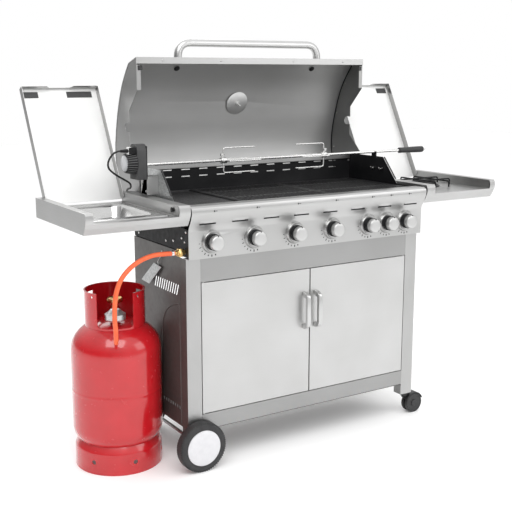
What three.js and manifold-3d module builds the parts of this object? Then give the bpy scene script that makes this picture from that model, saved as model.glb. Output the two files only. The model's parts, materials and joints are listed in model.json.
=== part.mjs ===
// Gas barbecue grill on a cabinet cart, with its hood and side-table lids open, the
// rotisserie mounted and a gas bottle joined to it by its hose.
// Millimetres, +Z up. The layout below has X = 0 at the middle of the cabinet, Y = 0 at the
// cabinet's door face (the user stands at -Y) and Z = 0 on the floor.
import * as THREE from 'three';
import { mergeVertices } from 'three/addons/utils/BufferGeometryUtils.js';
import Module from 'manifold-3d';

const wasm = await Module();
wasm.setup();

// ---- driving dimensions -----------------------------------------------------------------
const HALF_WIDTH = 485; // cabinet half width
const DEPTH = 388; // cabinet depth, door face to back panel
const SHEET = 1.5; // folded sheet steel
const GAP = 0.3; // clearance between touching pieces
const CENTRE_Y = 259.5; // middle of the whole grill front to back, moved to Y = 0 at the end

const POST_WIDTH = 53;
const POST_DEPTH = 40;
const POST_BOTTOM = 88;
const POST_TOP = 715.5;
const SIDE_BOTTOM = 140;
const SIDE_TOP = 735;
const RAIL_BOTTOM = 131.5;
const DOOR_BOTTOM = 186.5;
const DOOR_TOP = 633;
const DOOR_THICK = 18;
const PIN_X = 423; // door hinge pins
const PIN_Y = 4;
const PIN_RADIUS = 3;
const TRAY_HALF = 200;
const TRAY_TOP = 728;
const BAY = [182, 640]; // heights of the cabinet's open back

const PANEL_BOTTOM = 716;
const PANEL_TOP = 888;
const PANEL_FACE = -21;
const KNOB_Z = 769;
const KNOB_X = [-401, -242, -80, 77, 236, 321, 406];
const LOUVRE_PITCH = 120.5;

const FIREBOX_HALF = 470; // outside of the firebox end walls
const FIREBOX_BACK = 394;
const FIREBOX_BOTTOM = 738;
const RIM = 886;
const WALL_TOP = 985;
const WALL = 2;
const GRATE_TOP = 884;

const SPIT_Y = 239;
const SPIT_Z = 998;
const SPIT_RADIUS = 5;
const SPIT_AXIS = [SPIT_Y, SPIT_Z];
const HOOD_PIVOT = [395, 955]; // y, z of the hood's hinge bolts
const HOOD_OPEN = 90; // degrees from shut to the open stop
const HOOD_HALF = 484;

const TABLE_IN = 489;
const TABLE_OUT = 835;
const TABLE_TOP = 894.5;
const TABLE_BOTTOM = 829;
const TABLE_BACK = 387;
const DECK = 861.5; // top face of the recessed deck
const LID_IN = 530.5;
const LID_OUT = 807.5;
const LID_FRONT = -37.5;
const LID_DEPTH = 27;
const LID_PIVOT = [378, 881];
const LID_OPEN = 118;

const WHEEL_X = -449;
const WHEEL_RADIUS = 85;
const WHEEL_WIDTH = 38;
const AXLE_RADIUS = 6;
const CASTER_X = 470;
const CASTER_TRAIL = 40;
const CASTER_RADIUS = 38;
const CASTER_Y = [24, 364];

const BOTTLE = [-640, 215]; // x, y of the gas bottle's axis
const BOTTLE_RADIUS = 150;
const BOTTLE_HEIGHT = 600;
const COLLAR_RADIUS = 100;
const COLLAR_BOTTOM = 480;
const OUTLET_HEADING = new THREE.Vector2(-0.39, -0.92); // way the regulator faces, in plan
const INLET = [12, 738]; // y, z of the gas inlet's axis
const HOSE_RADIUS = 7.5;
const CORD_RADIUS = 3.25;

// ---- finishes ---------------------------------------------------------------------------
const FINISH = {
  stainless: { color: 0xb9b9b7, roughness: 0.35, metalness: 1.0 },
  polished: { color: 0xdcdcda, roughness: 0.15, metalness: 1.0 },
  cabinet_paint: { color: 0x57534f, roughness: 0.5, metalness: 0.3 },
  black_enamel: { color: 0x1b1b1c, roughness: 0.45, metalness: 0.2 },
  cast_iron: { color: 0x3a3a3b, roughness: 0.7, metalness: 0.5 },
  galvanised: { color: 0x9b9d9c, roughness: 0.5, metalness: 0.8 },
  brass: { color: 0xb08a45, roughness: 0.3, metalness: 1.0 },
  red_paint: { color: 0xc01f2a, roughness: 0.25, metalness: 0.1 },
  orange_rubber: { color: 0xe8592f, roughness: 0.5, metalness: 0.0 },
  black_rubber: { color: 0x2a2a2b, roughness: 0.8, metalness: 0.0 },
  black_plastic: { color: 0x2e2e30, roughness: 0.5, metalness: 0.0 },
};

// ---- geometry helpers -------------------------------------------------------------------
function solidOf(geometry) {
  const bare = new THREE.BufferGeometry();
  const flat = geometry.index ? geometry.toNonIndexed() : geometry;
  bare.setAttribute('position', flat.getAttribute('position').clone());
  const merged = mergeVertices(bare, 1e-3);
  return new wasm.Manifold(new wasm.Mesh({
    numProp: 3,
    vertProperties: merged.attributes.position.array,
    triVerts: new Uint32Array(merged.index.array),
  }));
}

function geometryOf(solid) {
  const mesh = solid.getMesh();
  const geometry = new THREE.BufferGeometry();
  geometry.setAttribute('position', new THREE.BufferAttribute(mesh.vertProperties, 3));
  geometry.setIndex(new THREE.BufferAttribute(mesh.triVerts, 1));
  return geometry;
}

const join = (...parts) => geometryOf(parts.map(solidOf).reduce((all, part) => all.add(part)));
const cut = (base, ...tools) =>
  geometryOf(tools.map(solidOf).reduce((left, tool) => left.subtract(tool), solidOf(base)));

function box(x, y, z) {
  const size = [x, y, z].map(([low, high]) => high - low);
  const centre = [x, y, z].map(([low, high]) => (low + high) / 2);
  return new THREE.BoxGeometry(...size).translate(...centre);
}

// Turns geometry built along +Z so that it runs along the named axis.
function along(axis, geometry) {
  const columns = {
    x: [[0, 1, 0], [0, 0, 1], [1, 0, 0]],
    y: [[0, 0, 1], [1, 0, 0], [0, 1, 0]],
    z: [[1, 0, 0], [0, 1, 0], [0, 0, 1]],
  }[axis].map((column) => new THREE.Vector3(...column));
  return geometry.applyMatrix4(new THREE.Matrix4().makeBasis(...columns));
}

// A flat outline swept from `from` to `to` along an axis. Outline points are (y, z) for x,
// (x, z) for y and (x, y) for z.
function prism(axis, outline, from, to) {
  const order = axis === 'y' ? ([x, z]) => new THREE.Vector2(z, x) : (p) => new THREE.Vector2(...p);
  const shape = new THREE.Shape(outline.map(order));
  const geometry = new THREE.ExtrudeGeometry(shape, { depth: to - from, bevelEnabled: false });
  return along(axis, geometry.translate(0, 0, from));
}

// A round bar from `from` to `to` along an axis; (a, b) is its centre, in prism's order.
function rod(axis, radius, from, to, [a, b], sides = 16, endRadius = radius) {
  const bar = new THREE.CylinderGeometry(endRadius, radius, to - from, sides);
  bar.rotateX(Math.PI / 2).translate(0, 0, (from + to) / 2);
  const turned = along(axis, bar);
  const offset = { x: [0, a, b], y: [a, 0, b], z: [a, b, 0] }[axis];
  return turned.translate(...offset);
}

// A turned piece about +Z from (radius, height) points that start and end on the axis or close.
function turned(points, sides) {
  const profile = points.map((p) => new THREE.Vector2(...p));
  return new THREE.LatheGeometry(profile, sides).rotateX(Math.PI / 2);
}

// The line at one thickness to the right of a path.
function insideOf(path, thickness) {
  return path.map(([a, b], i) => {
    const [pa, pb] = path[Math.max(i - 1, 0)];
    const [na, nb] = path[Math.min(i + 1, path.length - 1)];
    const before = new THREE.Vector2(a - pa, b - pb).normalize();
    const after = new THREE.Vector2(na - a, nb - b).normalize();
    if (i === 0) before.copy(after);
    if (i === path.length - 1) after.copy(before);
    const way = before.add(after).normalize();
    const lean = Math.max(way.dot(after), 0.5);
    return [a + (way.y * thickness) / lean, b - (way.x * thickness) / lean];
  });
}

// The closed outline of folded sheet whose outer face follows the path.
const foldedSheet = (path, thickness) => [...path, ...insideOf(path, thickness).reverse()];

function circle([a, b], radius, sides, from = 0, to = 360) {
  const whole = to - from === 360;
  const count = whole ? sides : sides + 1;
  return Array.from({ length: count }, (_, i) => {
    const angle = THREE.MathUtils.degToRad(from + ((to - from) * i) / sides);
    return [a + radius * Math.cos(angle), b + radius * Math.sin(angle)];
  });
}

// A round tube along a curve through the points.
function tube(points, radius, sides, steps) {
  const stations = points.map((p) => new THREE.Vector3(...p));
  const curve = new THREE.CatmullRomCurve3(stations, false, 'centripetal');
  const section = new THREE.Shape(circle([0, 0], radius, sides).map((p) => new THREE.Vector2(...p)));
  return new THREE.ExtrudeGeometry(section, { steps, extrudePath: curve, bevelEnabled: false });
}

// The same piece on the other side of the cabinet.
function mirrored(geometry) {
  const flat = geometry.index ? geometry.toNonIndexed() : geometry.clone();
  const position = flat.getAttribute('position');
  for (let i = 0; i < position.count; i += 3) {
    const corners = [0, 2, 1].map((k) => new THREE.Vector3().fromBufferAttribute(position, i + k));
    corners.forEach(({ x, y, z }, k) => position.setXYZ(i + k, -x, y, z));
  }
  return flat;
}

// ---- the assembly -----------------------------------------------------------------------
const grill = new THREE.Group();
grill.position.y = -CENTRE_Y;

function place(name, finish, geometry, parent = grill) {
  const mesh = new THREE.Mesh(geometry, new THREE.MeshStandardMaterial(FINISH[finish]));
  mesh.name = name;
  parent.add(mesh);
  return mesh;
}

// A group turned about an axis along X through (y, z), for pieces drawn in their shut place.
function openedBy(degrees, [y, z]) {
  const group = new THREE.Group();
  group.position.set(0, y, z);
  group.rotation.x = -THREE.MathUtils.degToRad(degrees);
  grill.add(group);
  const inner = new THREE.Group();
  inner.position.set(0, -y, -z);
  group.add(inner);
  return inner;
}

// ---- cart -------------------------------------------------------------------------------
function frontPost(bottom, axleHole) {
  const inside = HALF_WIDTH - POST_WIDTH;
  const channel = [
    [inside, 0], [HALF_WIDTH, 0], [HALF_WIDTH, POST_DEPTH], [HALF_WIDTH - SHEET, POST_DEPTH],
    [HALF_WIDTH - SHEET, SHEET], [inside + SHEET, SHEET], [inside + SHEET, POST_DEPTH],
    [inside, POST_DEPTH],
  ];
  const foot = box([inside, HALF_WIDTH], [0, POST_DEPTH], [bottom, bottom + SHEET]);
  const post = join(prism('z', channel, bottom, POST_TOP), foot);
  return axleHole ? cut(post, axleHole) : post;
}

function addPosts() {
  const hole = rod('y', AXLE_RADIUS + 0.5, -1, 3, [-WHEEL_X, WHEEL_RADIUS], 12);
  place('front_post_left', 'stainless', mirrored(frontPost(WHEEL_RADIUS - 25, hole)));
  place('front_post_right', 'stainless', frontPost(POST_BOTTOM));
}

// Slanted vent slots in a row; each is one outline of (y, z) points.
function ventRow(count, first, pitch, bottom, height, width, slant) {
  return Array.from({ length: count }, (_, i) => {
    const y = first + i * pitch;
    const top = bottom + height;
    return [[y, bottom], [y + width, bottom], [y + width - slant, top], [y - slant, top]];
  });
}

function sidePanel(legBottom, axleHole) {
  const front = POST_DEPTH + GAP;
  const legFront = DEPTH - 40;
  const outline = [
    [front, SIDE_BOTTOM], [legFront, SIDE_BOTTOM], [legFront, legBottom], [DEPTH, legBottom],
    [DEPTH, SIDE_TOP], [front, SIDE_TOP],
  ];
  const vents = [
    ...ventRow(11, 66, 16, 586, 37, 7, 14),
    ...ventRow(8, 56, 16.5, 197, 11, 6, 0),
  ].map((vent) => prism('x', vent, HALF_WIDTH - 5, HALF_WIDTH + 5));
  const plate = cut(prism('x', outline, HALF_WIDTH - SHEET, HALF_WIDTH), ...vents);
  const rearFold = box([HALF_WIDTH - 40, HALF_WIDTH], [DEPTH - SHEET, DEPTH], [legBottom, SIDE_TOP]);
  const foot = box([HALF_WIDTH - 40, HALF_WIDTH], [legFront, DEPTH], [legBottom, legBottom + SHEET]);
  const panel = join(plate, rearFold, foot);
  return axleHole ? cut(panel, axleHole) : panel;
}

function addSidePanels() {
  const hole = rod('y', AXLE_RADIUS + 0.5, DEPTH - 3, DEPTH + 1, [-WHEEL_X, WHEEL_RADIUS], 12);
  place('side_panel_left', 'cabinet_paint', mirrored(sidePanel(WHEEL_RADIUS - 25, hole)));
  place('side_panel_right', 'cabinet_paint', sidePanel(POST_BOTTOM));
}

// A front rail: folded sheet between the posts, with a hole for a door pin near each end.
function frontRail(bottom, top, pinZ) {
  const half = HALF_WIDTH - POST_WIDTH - GAP;
  const channel = [
    [19, bottom], [0, bottom], [0, top], [19, top], [19, top - SHEET], [SHEET, top - SHEET],
    [SHEET, bottom + SHEET], [19, bottom + SHEET],
  ].reverse();
  const pins = [-1, 1].map((side) =>
    rod('z', PIN_RADIUS + 0.6, pinZ - 3, pinZ + 3, [side * PIN_X, PIN_Y], 10));
  return cut(prism('x', channel, -half, half), ...pins);
}

function addFrontRails() {
  place('header_rail', 'stainless', frontRail(DOOR_TOP + 1.5, POST_TOP, DOOR_TOP + 2));
  place('bottom_rail', 'stainless', frontRail(RAIL_BOTTOM, DOOR_BOTTOM - 1.5, DOOR_BOTTOM - 2));
}

function addShelf() {
  const narrow = HALF_WIDTH - POST_WIDTH - 1;
  const wide = HALF_WIDTH - SHEET - GAP;
  const back = DEPTH - SHEET - GAP;
  const front = POST_DEPTH + 1;
  const outline = [
    [-narrow, 20], [narrow, 20], [narrow, front], [wide, front], [wide, back], [-wide, back],
    [-wide, front], [-narrow, front],
  ];
  const plate = prism('z', outline, SIDE_BOTTOM, SIDE_BOTTOM + SHEET);
  const lips = [[20, 20 + SHEET], [back - SHEET, back]].map((y) =>
    box([-narrow, narrow], y, [SIDE_BOTTOM - 20, SIDE_BOTTOM]));
  place('bottom_shelf', 'cabinet_paint', join(plate, ...lips));
}

function addBackPanel() {
  const half = HALF_WIDTH - 40 - GAP;
  const plate = box([-half, half], [DEPTH - SHEET, DEPTH], [SIDE_BOTTOM + SHEET + GAP, SIDE_TOP]);
  const trayMouth = box([-TRAY_HALF - 6, TRAY_HALF + 6], [DEPTH - 5, DEPTH + 5], [694, 733]);
  const bay = box([28 - half, half - 28], [DEPTH - 5, DEPTH + 5], BAY);
  const pegs = CORD_PEGS.map(([x, z]) => rod('y', 3, DEPTH - 0.5, DEPTH + 22, [x, z], 8));
  place('back_panel', 'cabinet_paint', join(cut(plate, trayMouth, bay), ...pegs));
}

// ---- doors ------------------------------------------------------------------------------
function doorLeaf() {
  const outside = HALF_WIDTH - POST_WIDTH - SHEET;
  const leaf = cut(
    box([1, outside], [0, DOOR_THICK], [DOOR_BOTTOM, DOOR_TOP]),
    box([1 + SHEET, outside - SHEET], [SHEET, DOOR_THICK + 1], [DOOR_BOTTOM + SHEET, DOOR_TOP - SHEET]),
  );
  const pins = [[DOOR_BOTTOM - 5, DOOR_BOTTOM + 12], [DOOR_TOP - 12, DOOR_TOP + 5]].map(([low, high]) =>
    rod('z', PIN_RADIUS, low, high, [PIN_X, PIN_Y], 10));
  return join(leaf, ...pins);
}

// A bowed bar handle standing on two feet.
function doorHandle() {
  const x = 24;
  const low = 421;
  const high = 553;
  const depth = 34;
  const outline = [
    [-GAP, low], [-GAP, low + 16], [-20, low + 22], [-20, high - 22], [-GAP, high - 16],
    [-GAP, high], [-12, high], [-depth + 4, high - 10], [-depth, high - 24], [-depth, low + 24],
    [-depth + 4, low + 10], [-12, low],
  ];
  return prism('x', outline, x - 8, x + 8);
}

function addDoors() {
  place('door_right', 'stainless', doorLeaf());
  place('door_left', 'stainless', mirrored(doorLeaf()));
  place('door_handle_right', 'polished', doorHandle());
  place('door_handle_left', 'polished', mirrored(doorHandle()));
}

// ---- control panel, knobs and gas line ---------------------------------------------------
const PANEL_PATH = [
  [18, PANEL_BOTTOM], [PANEL_FACE, PANEL_BOTTOM], [PANEL_FACE, 808], [-24, 818], [-35, 838],
  [-44, 858], [-46.5, 872], [-43, 883], [-35, PANEL_TOP], [7, PANEL_TOP],
];

function addControlPanel() {
  const sheet = prism('x', foldedSheet(PANEL_PATH, SHEET), -HALF_WIDTH, HALF_WIDTH);
  const bezels = KNOB_X.map((x) => cut(
    rod('y', 35, PANEL_FACE - 9, PANEL_FACE + 0.5, [x, KNOB_Z], 18),
    rod('y', 27, PANEL_FACE - 10, PANEL_FACE - 3, [x, KNOB_Z], 18),
  ));
  const stems = KNOB_X.map((x) => rod('y', 6, -40, 0, [x, KNOB_Z], 10));
  const louvres = Array.from({ length: 8 }, (_, i) => {
    const x = (i - 3.5) * LOUVRE_PITCH;
    return box([x - 28, x + 28], [-60, -10], [828, 831]);
  });
  place('control_panel', 'stainless', cut(join(sheet, ...bezels), ...stems, ...louvres));
}

function addKnobs() {
  const back = PANEL_FACE - 6;
  const profile = [
    [0, 12], [4, 12], [4, 0], [25, 0], [26, -3], [25, -24], [23, -34], [19, -38], [0, -39],
  ].map(([radius, height]) => [radius, -height]);
  const knob = turned(profile, 16);
  KNOB_X.forEach((x, i) => {
    const cap = knob.clone().rotateX(Math.PI / 2).translate(x, back, KNOB_Z);
    place(`knob_${i + 1}`, 'polished', cap);
  });
}

function addGasLine() {
  const [inletY, inletZ] = INLET;
  const pipe = rod('x', 9, -470, 425, [inletY, KNOB_Z], 8);
  const drop = rod('z', 8, inletZ - 8, KNOB_Z, [-462, inletY], 12);
  const elbow = rod('x', 8, -478, -456, [inletY, inletZ], 12);
  const valves = KNOB_X.map((x) => rod('y', 10, -14.5, inletY, [x, KNOB_Z], 8));
  place('gas_manifold', 'galvanised', join(pipe, drop, elbow, ...valves));
  const fitting = turned([
    [0, 0], [7, 0], [7, 8], [11, 8], [11, 16], [8, 18], [8, 22], [10, 22], [10, 33], [6, 34],
    [6, 40], [0, 40],
  ], 12);
  place('gas_inlet', 'brass', fitting.rotateY(-Math.PI / 2).translate(-478.3, inletY, inletZ));
}

// ---- firebox and cooking parts ------------------------------------------------------------
const BURNER_X = [-388, -232, -77, 77];
const SEAR_X = 300;
const BURNER_Z = 800;

function endWall() {
  const [pivotY, pivotZ] = HOOD_PIVOT;
  const outline = [
    [8, FIREBOX_BOTTOM + 114], [34, FIREBOX_BOTTOM + 92], [34, FIREBOX_BOTTOM],
    [FIREBOX_BACK, FIREBOX_BOTTOM],
    [FIREBOX_BACK, pivotZ - 40], ...circle([pivotY, pivotZ], 16, 8, -60, 60),
    [FIREBOX_BACK, WALL_TOP],
    [FIREBOX_BACK - 30, WALL_TOP], [FIREBOX_BACK - 36, 982], [186, 982], [102, RIM + 2], [8, RIM],
  ];
  return prism('x', outline, FIREBOX_HALF - WALL, FIREBOX_HALF);
}

// The carrier outside an end wall: side tables and the gas inlet are fixed to it.
function carrier() {
  const face = HALF_WIDTH - SHEET;
  const outline = [
    [-17, 722], [32, 722], [32, FIREBOX_BOTTOM], [385, FIREBOX_BOTTOM], [385, 826], [-17, 812],
  ];
  const hole = rod('x', 11.6, face - 5, face + 5, INLET, 12);
  return join(
    cut(prism('x', outline, face - WALL, face), hole),
    box([FIREBOX_HALF - 1, face], [45, 385], [FIREBOX_BOTTOM, FIREBOX_BOTTOM + WALL]),
  );
}

function addFirebox() {
  const half = FIREBOX_HALF - 1;
  const frontPath = [[34, FIREBOX_BOTTOM], [34, 830], [8, 852], [8, RIM]];
  const front = prism('x', foldedSheet(frontPath, WALL), -half, half);
  const backWall = [FIREBOX_BACK - WALL, FIREBOX_BACK];
  const slots = [930, 955].flatMap((z) => Array.from({ length: 11 }, (_, i) =>
    box([-365 + i * 73, -330 + i * 73], [FIREBOX_BACK - 5, FIREBOX_BACK + 5], [z, z + 4])));
  const back = cut(box([-half, half], backWall, [FIREBOX_BOTTOM, WALL_TOP]), ...slots);
  const floor = cut(
    box([-half, half], [33, FIREBOX_BACK - 1], [FIREBOX_BOTTOM, FIREBOX_BOTTOM + WALL]),
    box([-150, 150], [120, 290], [FIREBOX_BOTTOM - 5, FIREBOX_BOTTOM + 5]),
  );
  const ledges = [[9, 24], [FIREBOX_BACK - 16, FIREBOX_BACK - 1]].map((y) =>
    box([-half, half], y, [866, 868]));
  const runner = join(
    box([TRAY_HALF + 2, TRAY_HALF + 4], [60, 370], [TRAY_TOP - 10, FIREBOX_BOTTOM + 1]),
    box([TRAY_HALF - 6, TRAY_HALF + 4], [60, 370], [TRAY_TOP - 12, TRAY_TOP - 10]),
  );
  const runners = [runner, mirrored(runner)];
  const spitRest = cut(
    box([FIREBOX_HALF - WALL, FIREBOX_HALF], [SPIT_Y - 14, SPIT_Y + 14], [980, SPIT_Z + 2]),
    rod('x', SPIT_RADIUS + 0.6, FIREBOX_HALF - 5, FIREBOX_HALF + 5, SPIT_AXIS, 12),
    box([FIREBOX_HALF - 5, FIREBOX_HALF + 5], [SPIT_Y - 5.6, SPIT_Y + 5.6], [SPIT_Z, SPIT_Z + 10]),
  );
  const necks = [...BURNER_X, SEAR_X].map((x) => rod('y', 10, 30, 40, [x, BURNER_Z], 12));
  const ends = [endWall(), mirrored(endWall()), carrier(), mirrored(carrier())];
  const tub = join(front, back, floor, ...ledges, ...runners, ...ends, spitRest);
  const pivots = rod('x', 4.6, FIREBOX_HALF - 10, FIREBOX_HALF + 5, HOOD_PIVOT, 10);
  place('firebox', 'black_enamel', cut(tub, ...necks, pivots, mirrored(pivots)));
}

function grate(from, to) {
  const [front, back] = [14, FIREBOX_BACK - WALL - 4];
  const outer = box([from, to], [front, back], [GRATE_TOP - 14, GRATE_TOP]);
  const pitch = 16;
  const count = Math.floor((to - from - 16) / pitch);
  const first = (from + to) / 2 - (count * pitch) / 2 + 4;
  const slots = Array.from({ length: count }, (_, i) => [first + i * pitch, first + i * pitch + 8]);
  const rows = [[front + 18, 112], [128, 274], [290, back - 18]];
  const tools = slots.flatMap((x) => rows.map((y) => box(x, y, [GRATE_TOP - 20, GRATE_TOP + 5])));
  return cut(outer, ...tools);
}

function addCookingParts() {
  const griddle = cut(
    box([-463, -260], [14, FIREBOX_BACK - WALL - 4], [GRATE_TOP - 14, GRATE_TOP]),
    box([-457, -266], [20, FIREBOX_BACK - WALL - 10], [GRATE_TOP - 5, GRATE_TOP + 5]),
  );
  place('griddle_plate', 'cast_iron', griddle);
  place('cooking_grate_left', 'cast_iron', grate(-257, 101));
  place('cooking_grate_right', 'cast_iron', grate(104, 463));
  const tubes = BURNER_X.map((x) => rod('y', 20, 50, 370, [x, BURNER_Z], 12));
  const necks = [...BURNER_X, SEAR_X].map((x) => rod('y', 8, 22, 52, [x, BURNER_Z], 12));
  const sear = box([SEAR_X - 75, SEAR_X + 75], [50, 350], [BURNER_Z - 12, BURNER_Z + 20]);
  const crossover = box([BURNER_X[0], SEAR_X - 70], [204, 216], [BURNER_Z - 6, BURNER_Z + 6]);
  place('burners', 'stainless', join(...tubes, ...necks, sear, crossover));
}

function addGreaseTray() {
  const pan = cut(
    box([-TRAY_HALF + 8, TRAY_HALF - 8], [62, 383], [700, TRAY_TOP - 2]),
    box([-TRAY_HALF + 10, TRAY_HALF - 10], [64, 381], [702, TRAY_TOP]),
  );
  const rims = [-1, 1].map((side) => {
    const x = [side * (TRAY_HALF - 9), side * (TRAY_HALF + 1.4)].sort((a, b) => a - b);
    return box(x, [62, 383], [TRAY_TOP - 9.5, TRAY_TOP - 7.5]);
  });
  const pull = box([-45, 45], [382, 398], [TRAY_TOP - 20, TRAY_TOP - 16]);
  place('grease_tray', 'galvanised', join(pan, ...rims, pull));
}

// ---- hood, drawn shut and opened about its pivot -------------------------------------------
function hoodTopPath() {
  const crown = new THREE.SplineCurve([
    [20, 962], [50, 989], [106, 1029], [193, 1066], [310, 1093], [400, 1085], [456, 1056], [480, 1008],
  ].map((p) => new THREE.Vector2(...p)));
  return crown.getPoints(16).map((p) => [p.x, p.y]);
}

const HOOD_LIP = 898;
const HOOD_REAR = 962; // lower edge of the hood's rear skirt when shut

// The hood end: its lower edge clears the firebox end wall and has a notch for the spit.
function hoodEnd() {
  const inset = 2.4;
  const [pivotY, pivotZ] = HOOD_PIVOT;
  const crown = insideOf([[1, HOOD_LIP + 2.4], ...hoodTopPath(), [480, HOOD_LIP]], inset);
  const lower = [
    [360, HOOD_LIP + 2.4], [294, 970], [SPIT_Y + 15, 970],
    ...circle([SPIT_Y, 990], 16, 8, -20, 200), [SPIT_Y - 15, 970], [184, 970], [113, HOOD_LIP + 2.4],
  ];
  const plate = prism('x', [...crown, ...lower], HOOD_HALF - 3, HOOD_HALF - SHEET);
  const flange = box([HOOD_HALF - 17, HOOD_HALF - 2], [27, 110], [HOOD_LIP + 2.4, HOOD_LIP + 3.9]);
  const pin = rod('x', 4, FIREBOX_HALF - 6, HOOD_HALF - 2, [pivotY, pivotZ], 10);
  return join(plate, flange, pin);
}

function hoodHandle() {
  const [barY, barZ] = [-51, 952];
  const [half, bend, end] = [299, 50, 9];
  const corner = (side) => Array.from({ length: 7 }, (_, i) => {
    const angle = (i / 6) * (Math.PI / 2);
    return [side * (half - bend + bend * Math.cos(angle)), barY + bend - bend * Math.sin(angle), barZ];
  });
  const right = [[half, end, barZ], ...corner(1)];
  const left = [[-half, end, barZ], ...corner(-1)].reverse();
  return tube([...right, ...left], 14, 10, 30);
}

const GAUGE = [0, 163, 1055.5];
const GAUGE_TILT = THREE.MathUtils.degToRad(22);

// The lid gauge: dial outside, nut, dish and probe inside; its stem passes the hood sheet.
function thermometer() {
  const gauge = turned([
    [0, -34], [3, -34], [3, -13], [9, -13], [42, -8.5], [45, -7.2], [9, -4.5], [9, 2.4],
    [38, 2.4], [40, 4], [40, 10], [36, 13], [0, 13],
  ], 18);
  return gauge.rotateX(GAUGE_TILT).translate(...GAUGE);
}

function addHood() {
  const hood = openedBy(HOOD_OPEN, HOOD_PIVOT);
  const path = [[22, HOOD_LIP], [0, HOOD_LIP], ...hoodTopPath(), [480, HOOD_REAR]];
  const sheet = prism('x', foldedSheet(path, SHEET), -HOOD_HALF, HOOD_HALF);
  const port = rod('z', 11, -20, 20, [0, 0], 12).rotateX(GAUGE_TILT).translate(...GAUGE);
  place('hood_shell', 'stainless', cut(sheet, port), hood);
  place('hood_end_right', 'stainless', hoodEnd(), hood);
  place('hood_end_left', 'stainless', mirrored(hoodEnd()), hood);
  place('hood_handle', 'polished', hoodHandle(), hood);
  place('thermometer', 'polished', thermometer(), hood);
}

// ---- side tables ----------------------------------------------------------------------------
const FASCIA_PATH = [
  [-24, TABLE_BOTTOM], [-36, 848], [-44, 864], [-46, 876], [-44, 888], [-39, TABLE_TOP],
];

function sideTable(holeTool) {
  const outline = [...FASCIA_PATH, [TABLE_BACK, TABLE_TOP], [TABLE_BACK, TABLE_BOTTOM]].reverse();
  const walls = [TABLE_IN, TABLE_OUT - SHEET].map((x) => prism('x', outline, x, x + SHEET));
  const fascia = cut(
    prism('x', foldedSheet(FASCIA_PATH, -SHEET).reverse(), TABLE_IN, TABLE_OUT),
    box([LID_IN - 2, LID_OUT + 2], [-60, -20], [DECK + 0.5, TABLE_TOP + 5]),
  );
  const deck = box([TABLE_IN, TABLE_OUT - 1], [-42.5, TABLE_BACK], [DECK - SHEET, DECK]);
  const back = box([TABLE_IN, TABLE_OUT - 1], [TABLE_BACK - SHEET, TABLE_BACK], [TABLE_BOTTOM, DECK]);
  const rims = [[TABLE_IN, LID_IN - 2], [LID_OUT + 2, TABLE_OUT - 1]].map((x) =>
    box(x, [-39.5, TABLE_BACK], [TABLE_TOP - SHEET, TABLE_TOP]));
  const risers = [LID_IN - 2 - SHEET, LID_OUT + 2].map((x) =>
    box([x, x + SHEET], [-41, TABLE_BACK], [DECK - 1, TABLE_TOP - 0.5]));
  const pins = rod('x', 3.6, LID_IN - 8, LID_IN + 1, LID_PIVOT, 10);
  const outerPins = rod('x', 3.6, LID_OUT - 1, LID_OUT + 8, LID_PIVOT, 10);
  return cut(join(...walls, fascia, deck, back, ...rims, ...risers), holeTool, pins, outerPins);
}

// A pan-shaped lid with a finger cut-out in its front flange and a pivot pin each side.
function tableLid() {
  const x = [LID_IN, LID_OUT];
  const y = [LID_FRONT, LID_PIVOT[0] + 7];
  const z = [TABLE_TOP - LID_DEPTH, TABLE_TOP];
  const pan = cut(
    box(x, y, z),
    box([x[0] + SHEET, x[1] - SHEET], [y[0] + SHEET, y[1] + 1], [z[0] - 1, z[1] - SHEET]),
  );
  const middle = (x[0] + x[1]) / 2;
  const finger = prism('y', [
    [middle - 50, z[0] - 1], [middle + 50, z[0] - 1], [middle + 38, z[0] + 13], [middle - 38, z[0] + 13],
  ], y[0] - 1, y[0] + 5);
  const pins = [[x[0] - 4.5, x[0] + 1], [x[1] - 1, x[1] + 4.5]].map(([low, high]) =>
    rod('x', 3, low, high, LID_PIVOT, 10));
  return join(cut(pan, finger), ...pins);
}

function sinkBasin() {
  const rim = box([-796, -542], [-12, 348], [DECK + GAP, DECK + GAP + SHEET]);
  const bowl = box([-765, -573], [40, 305], [DECK - 52, DECK + 1]);
  const hollow = box([-763, -575], [42, 303], [DECK - 50, DECK + 5]);
  const drain = rod('z', 17, DECK - 56, DECK - 45, [-669, 172], 16);
  return cut(join(rim, bowl), hollow, drain);
}

const RING_BURNER = [662, 160];

function addSideTables() {
  const sinkHole = box([571.5, 766.5], [38.5, 306.5], [DECK - 5, DECK + 5]);
  const burnerHole = rod('z', 22, DECK - 5, DECK + 5, RING_BURNER, 16);
  place('side_table_left', 'stainless', mirrored(sideTable(sinkHole)));
  place('side_table_right', 'stainless', sideTable(burnerHole));
  const lids = openedBy(LID_OPEN, LID_PIVOT);
  place('side_lid_right', 'stainless', tableLid(), lids);
  place('side_lid_left', 'stainless', mirrored(tableLid()), lids);
  place('sink_basin', 'stainless', sinkBasin());
  const burner = turned([
    [0, -35], [20, -35], [20, GAP], [60, GAP], [60, 4], [44, 10], [44, 18], [38, 22], [0, 22],
  ], 24);
  place('side_burner', 'cast_iron', burner.translate(RING_BURNER[0], RING_BURNER[1], DECK));
  place('pot_support', 'black_enamel', potSupport());
}

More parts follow.
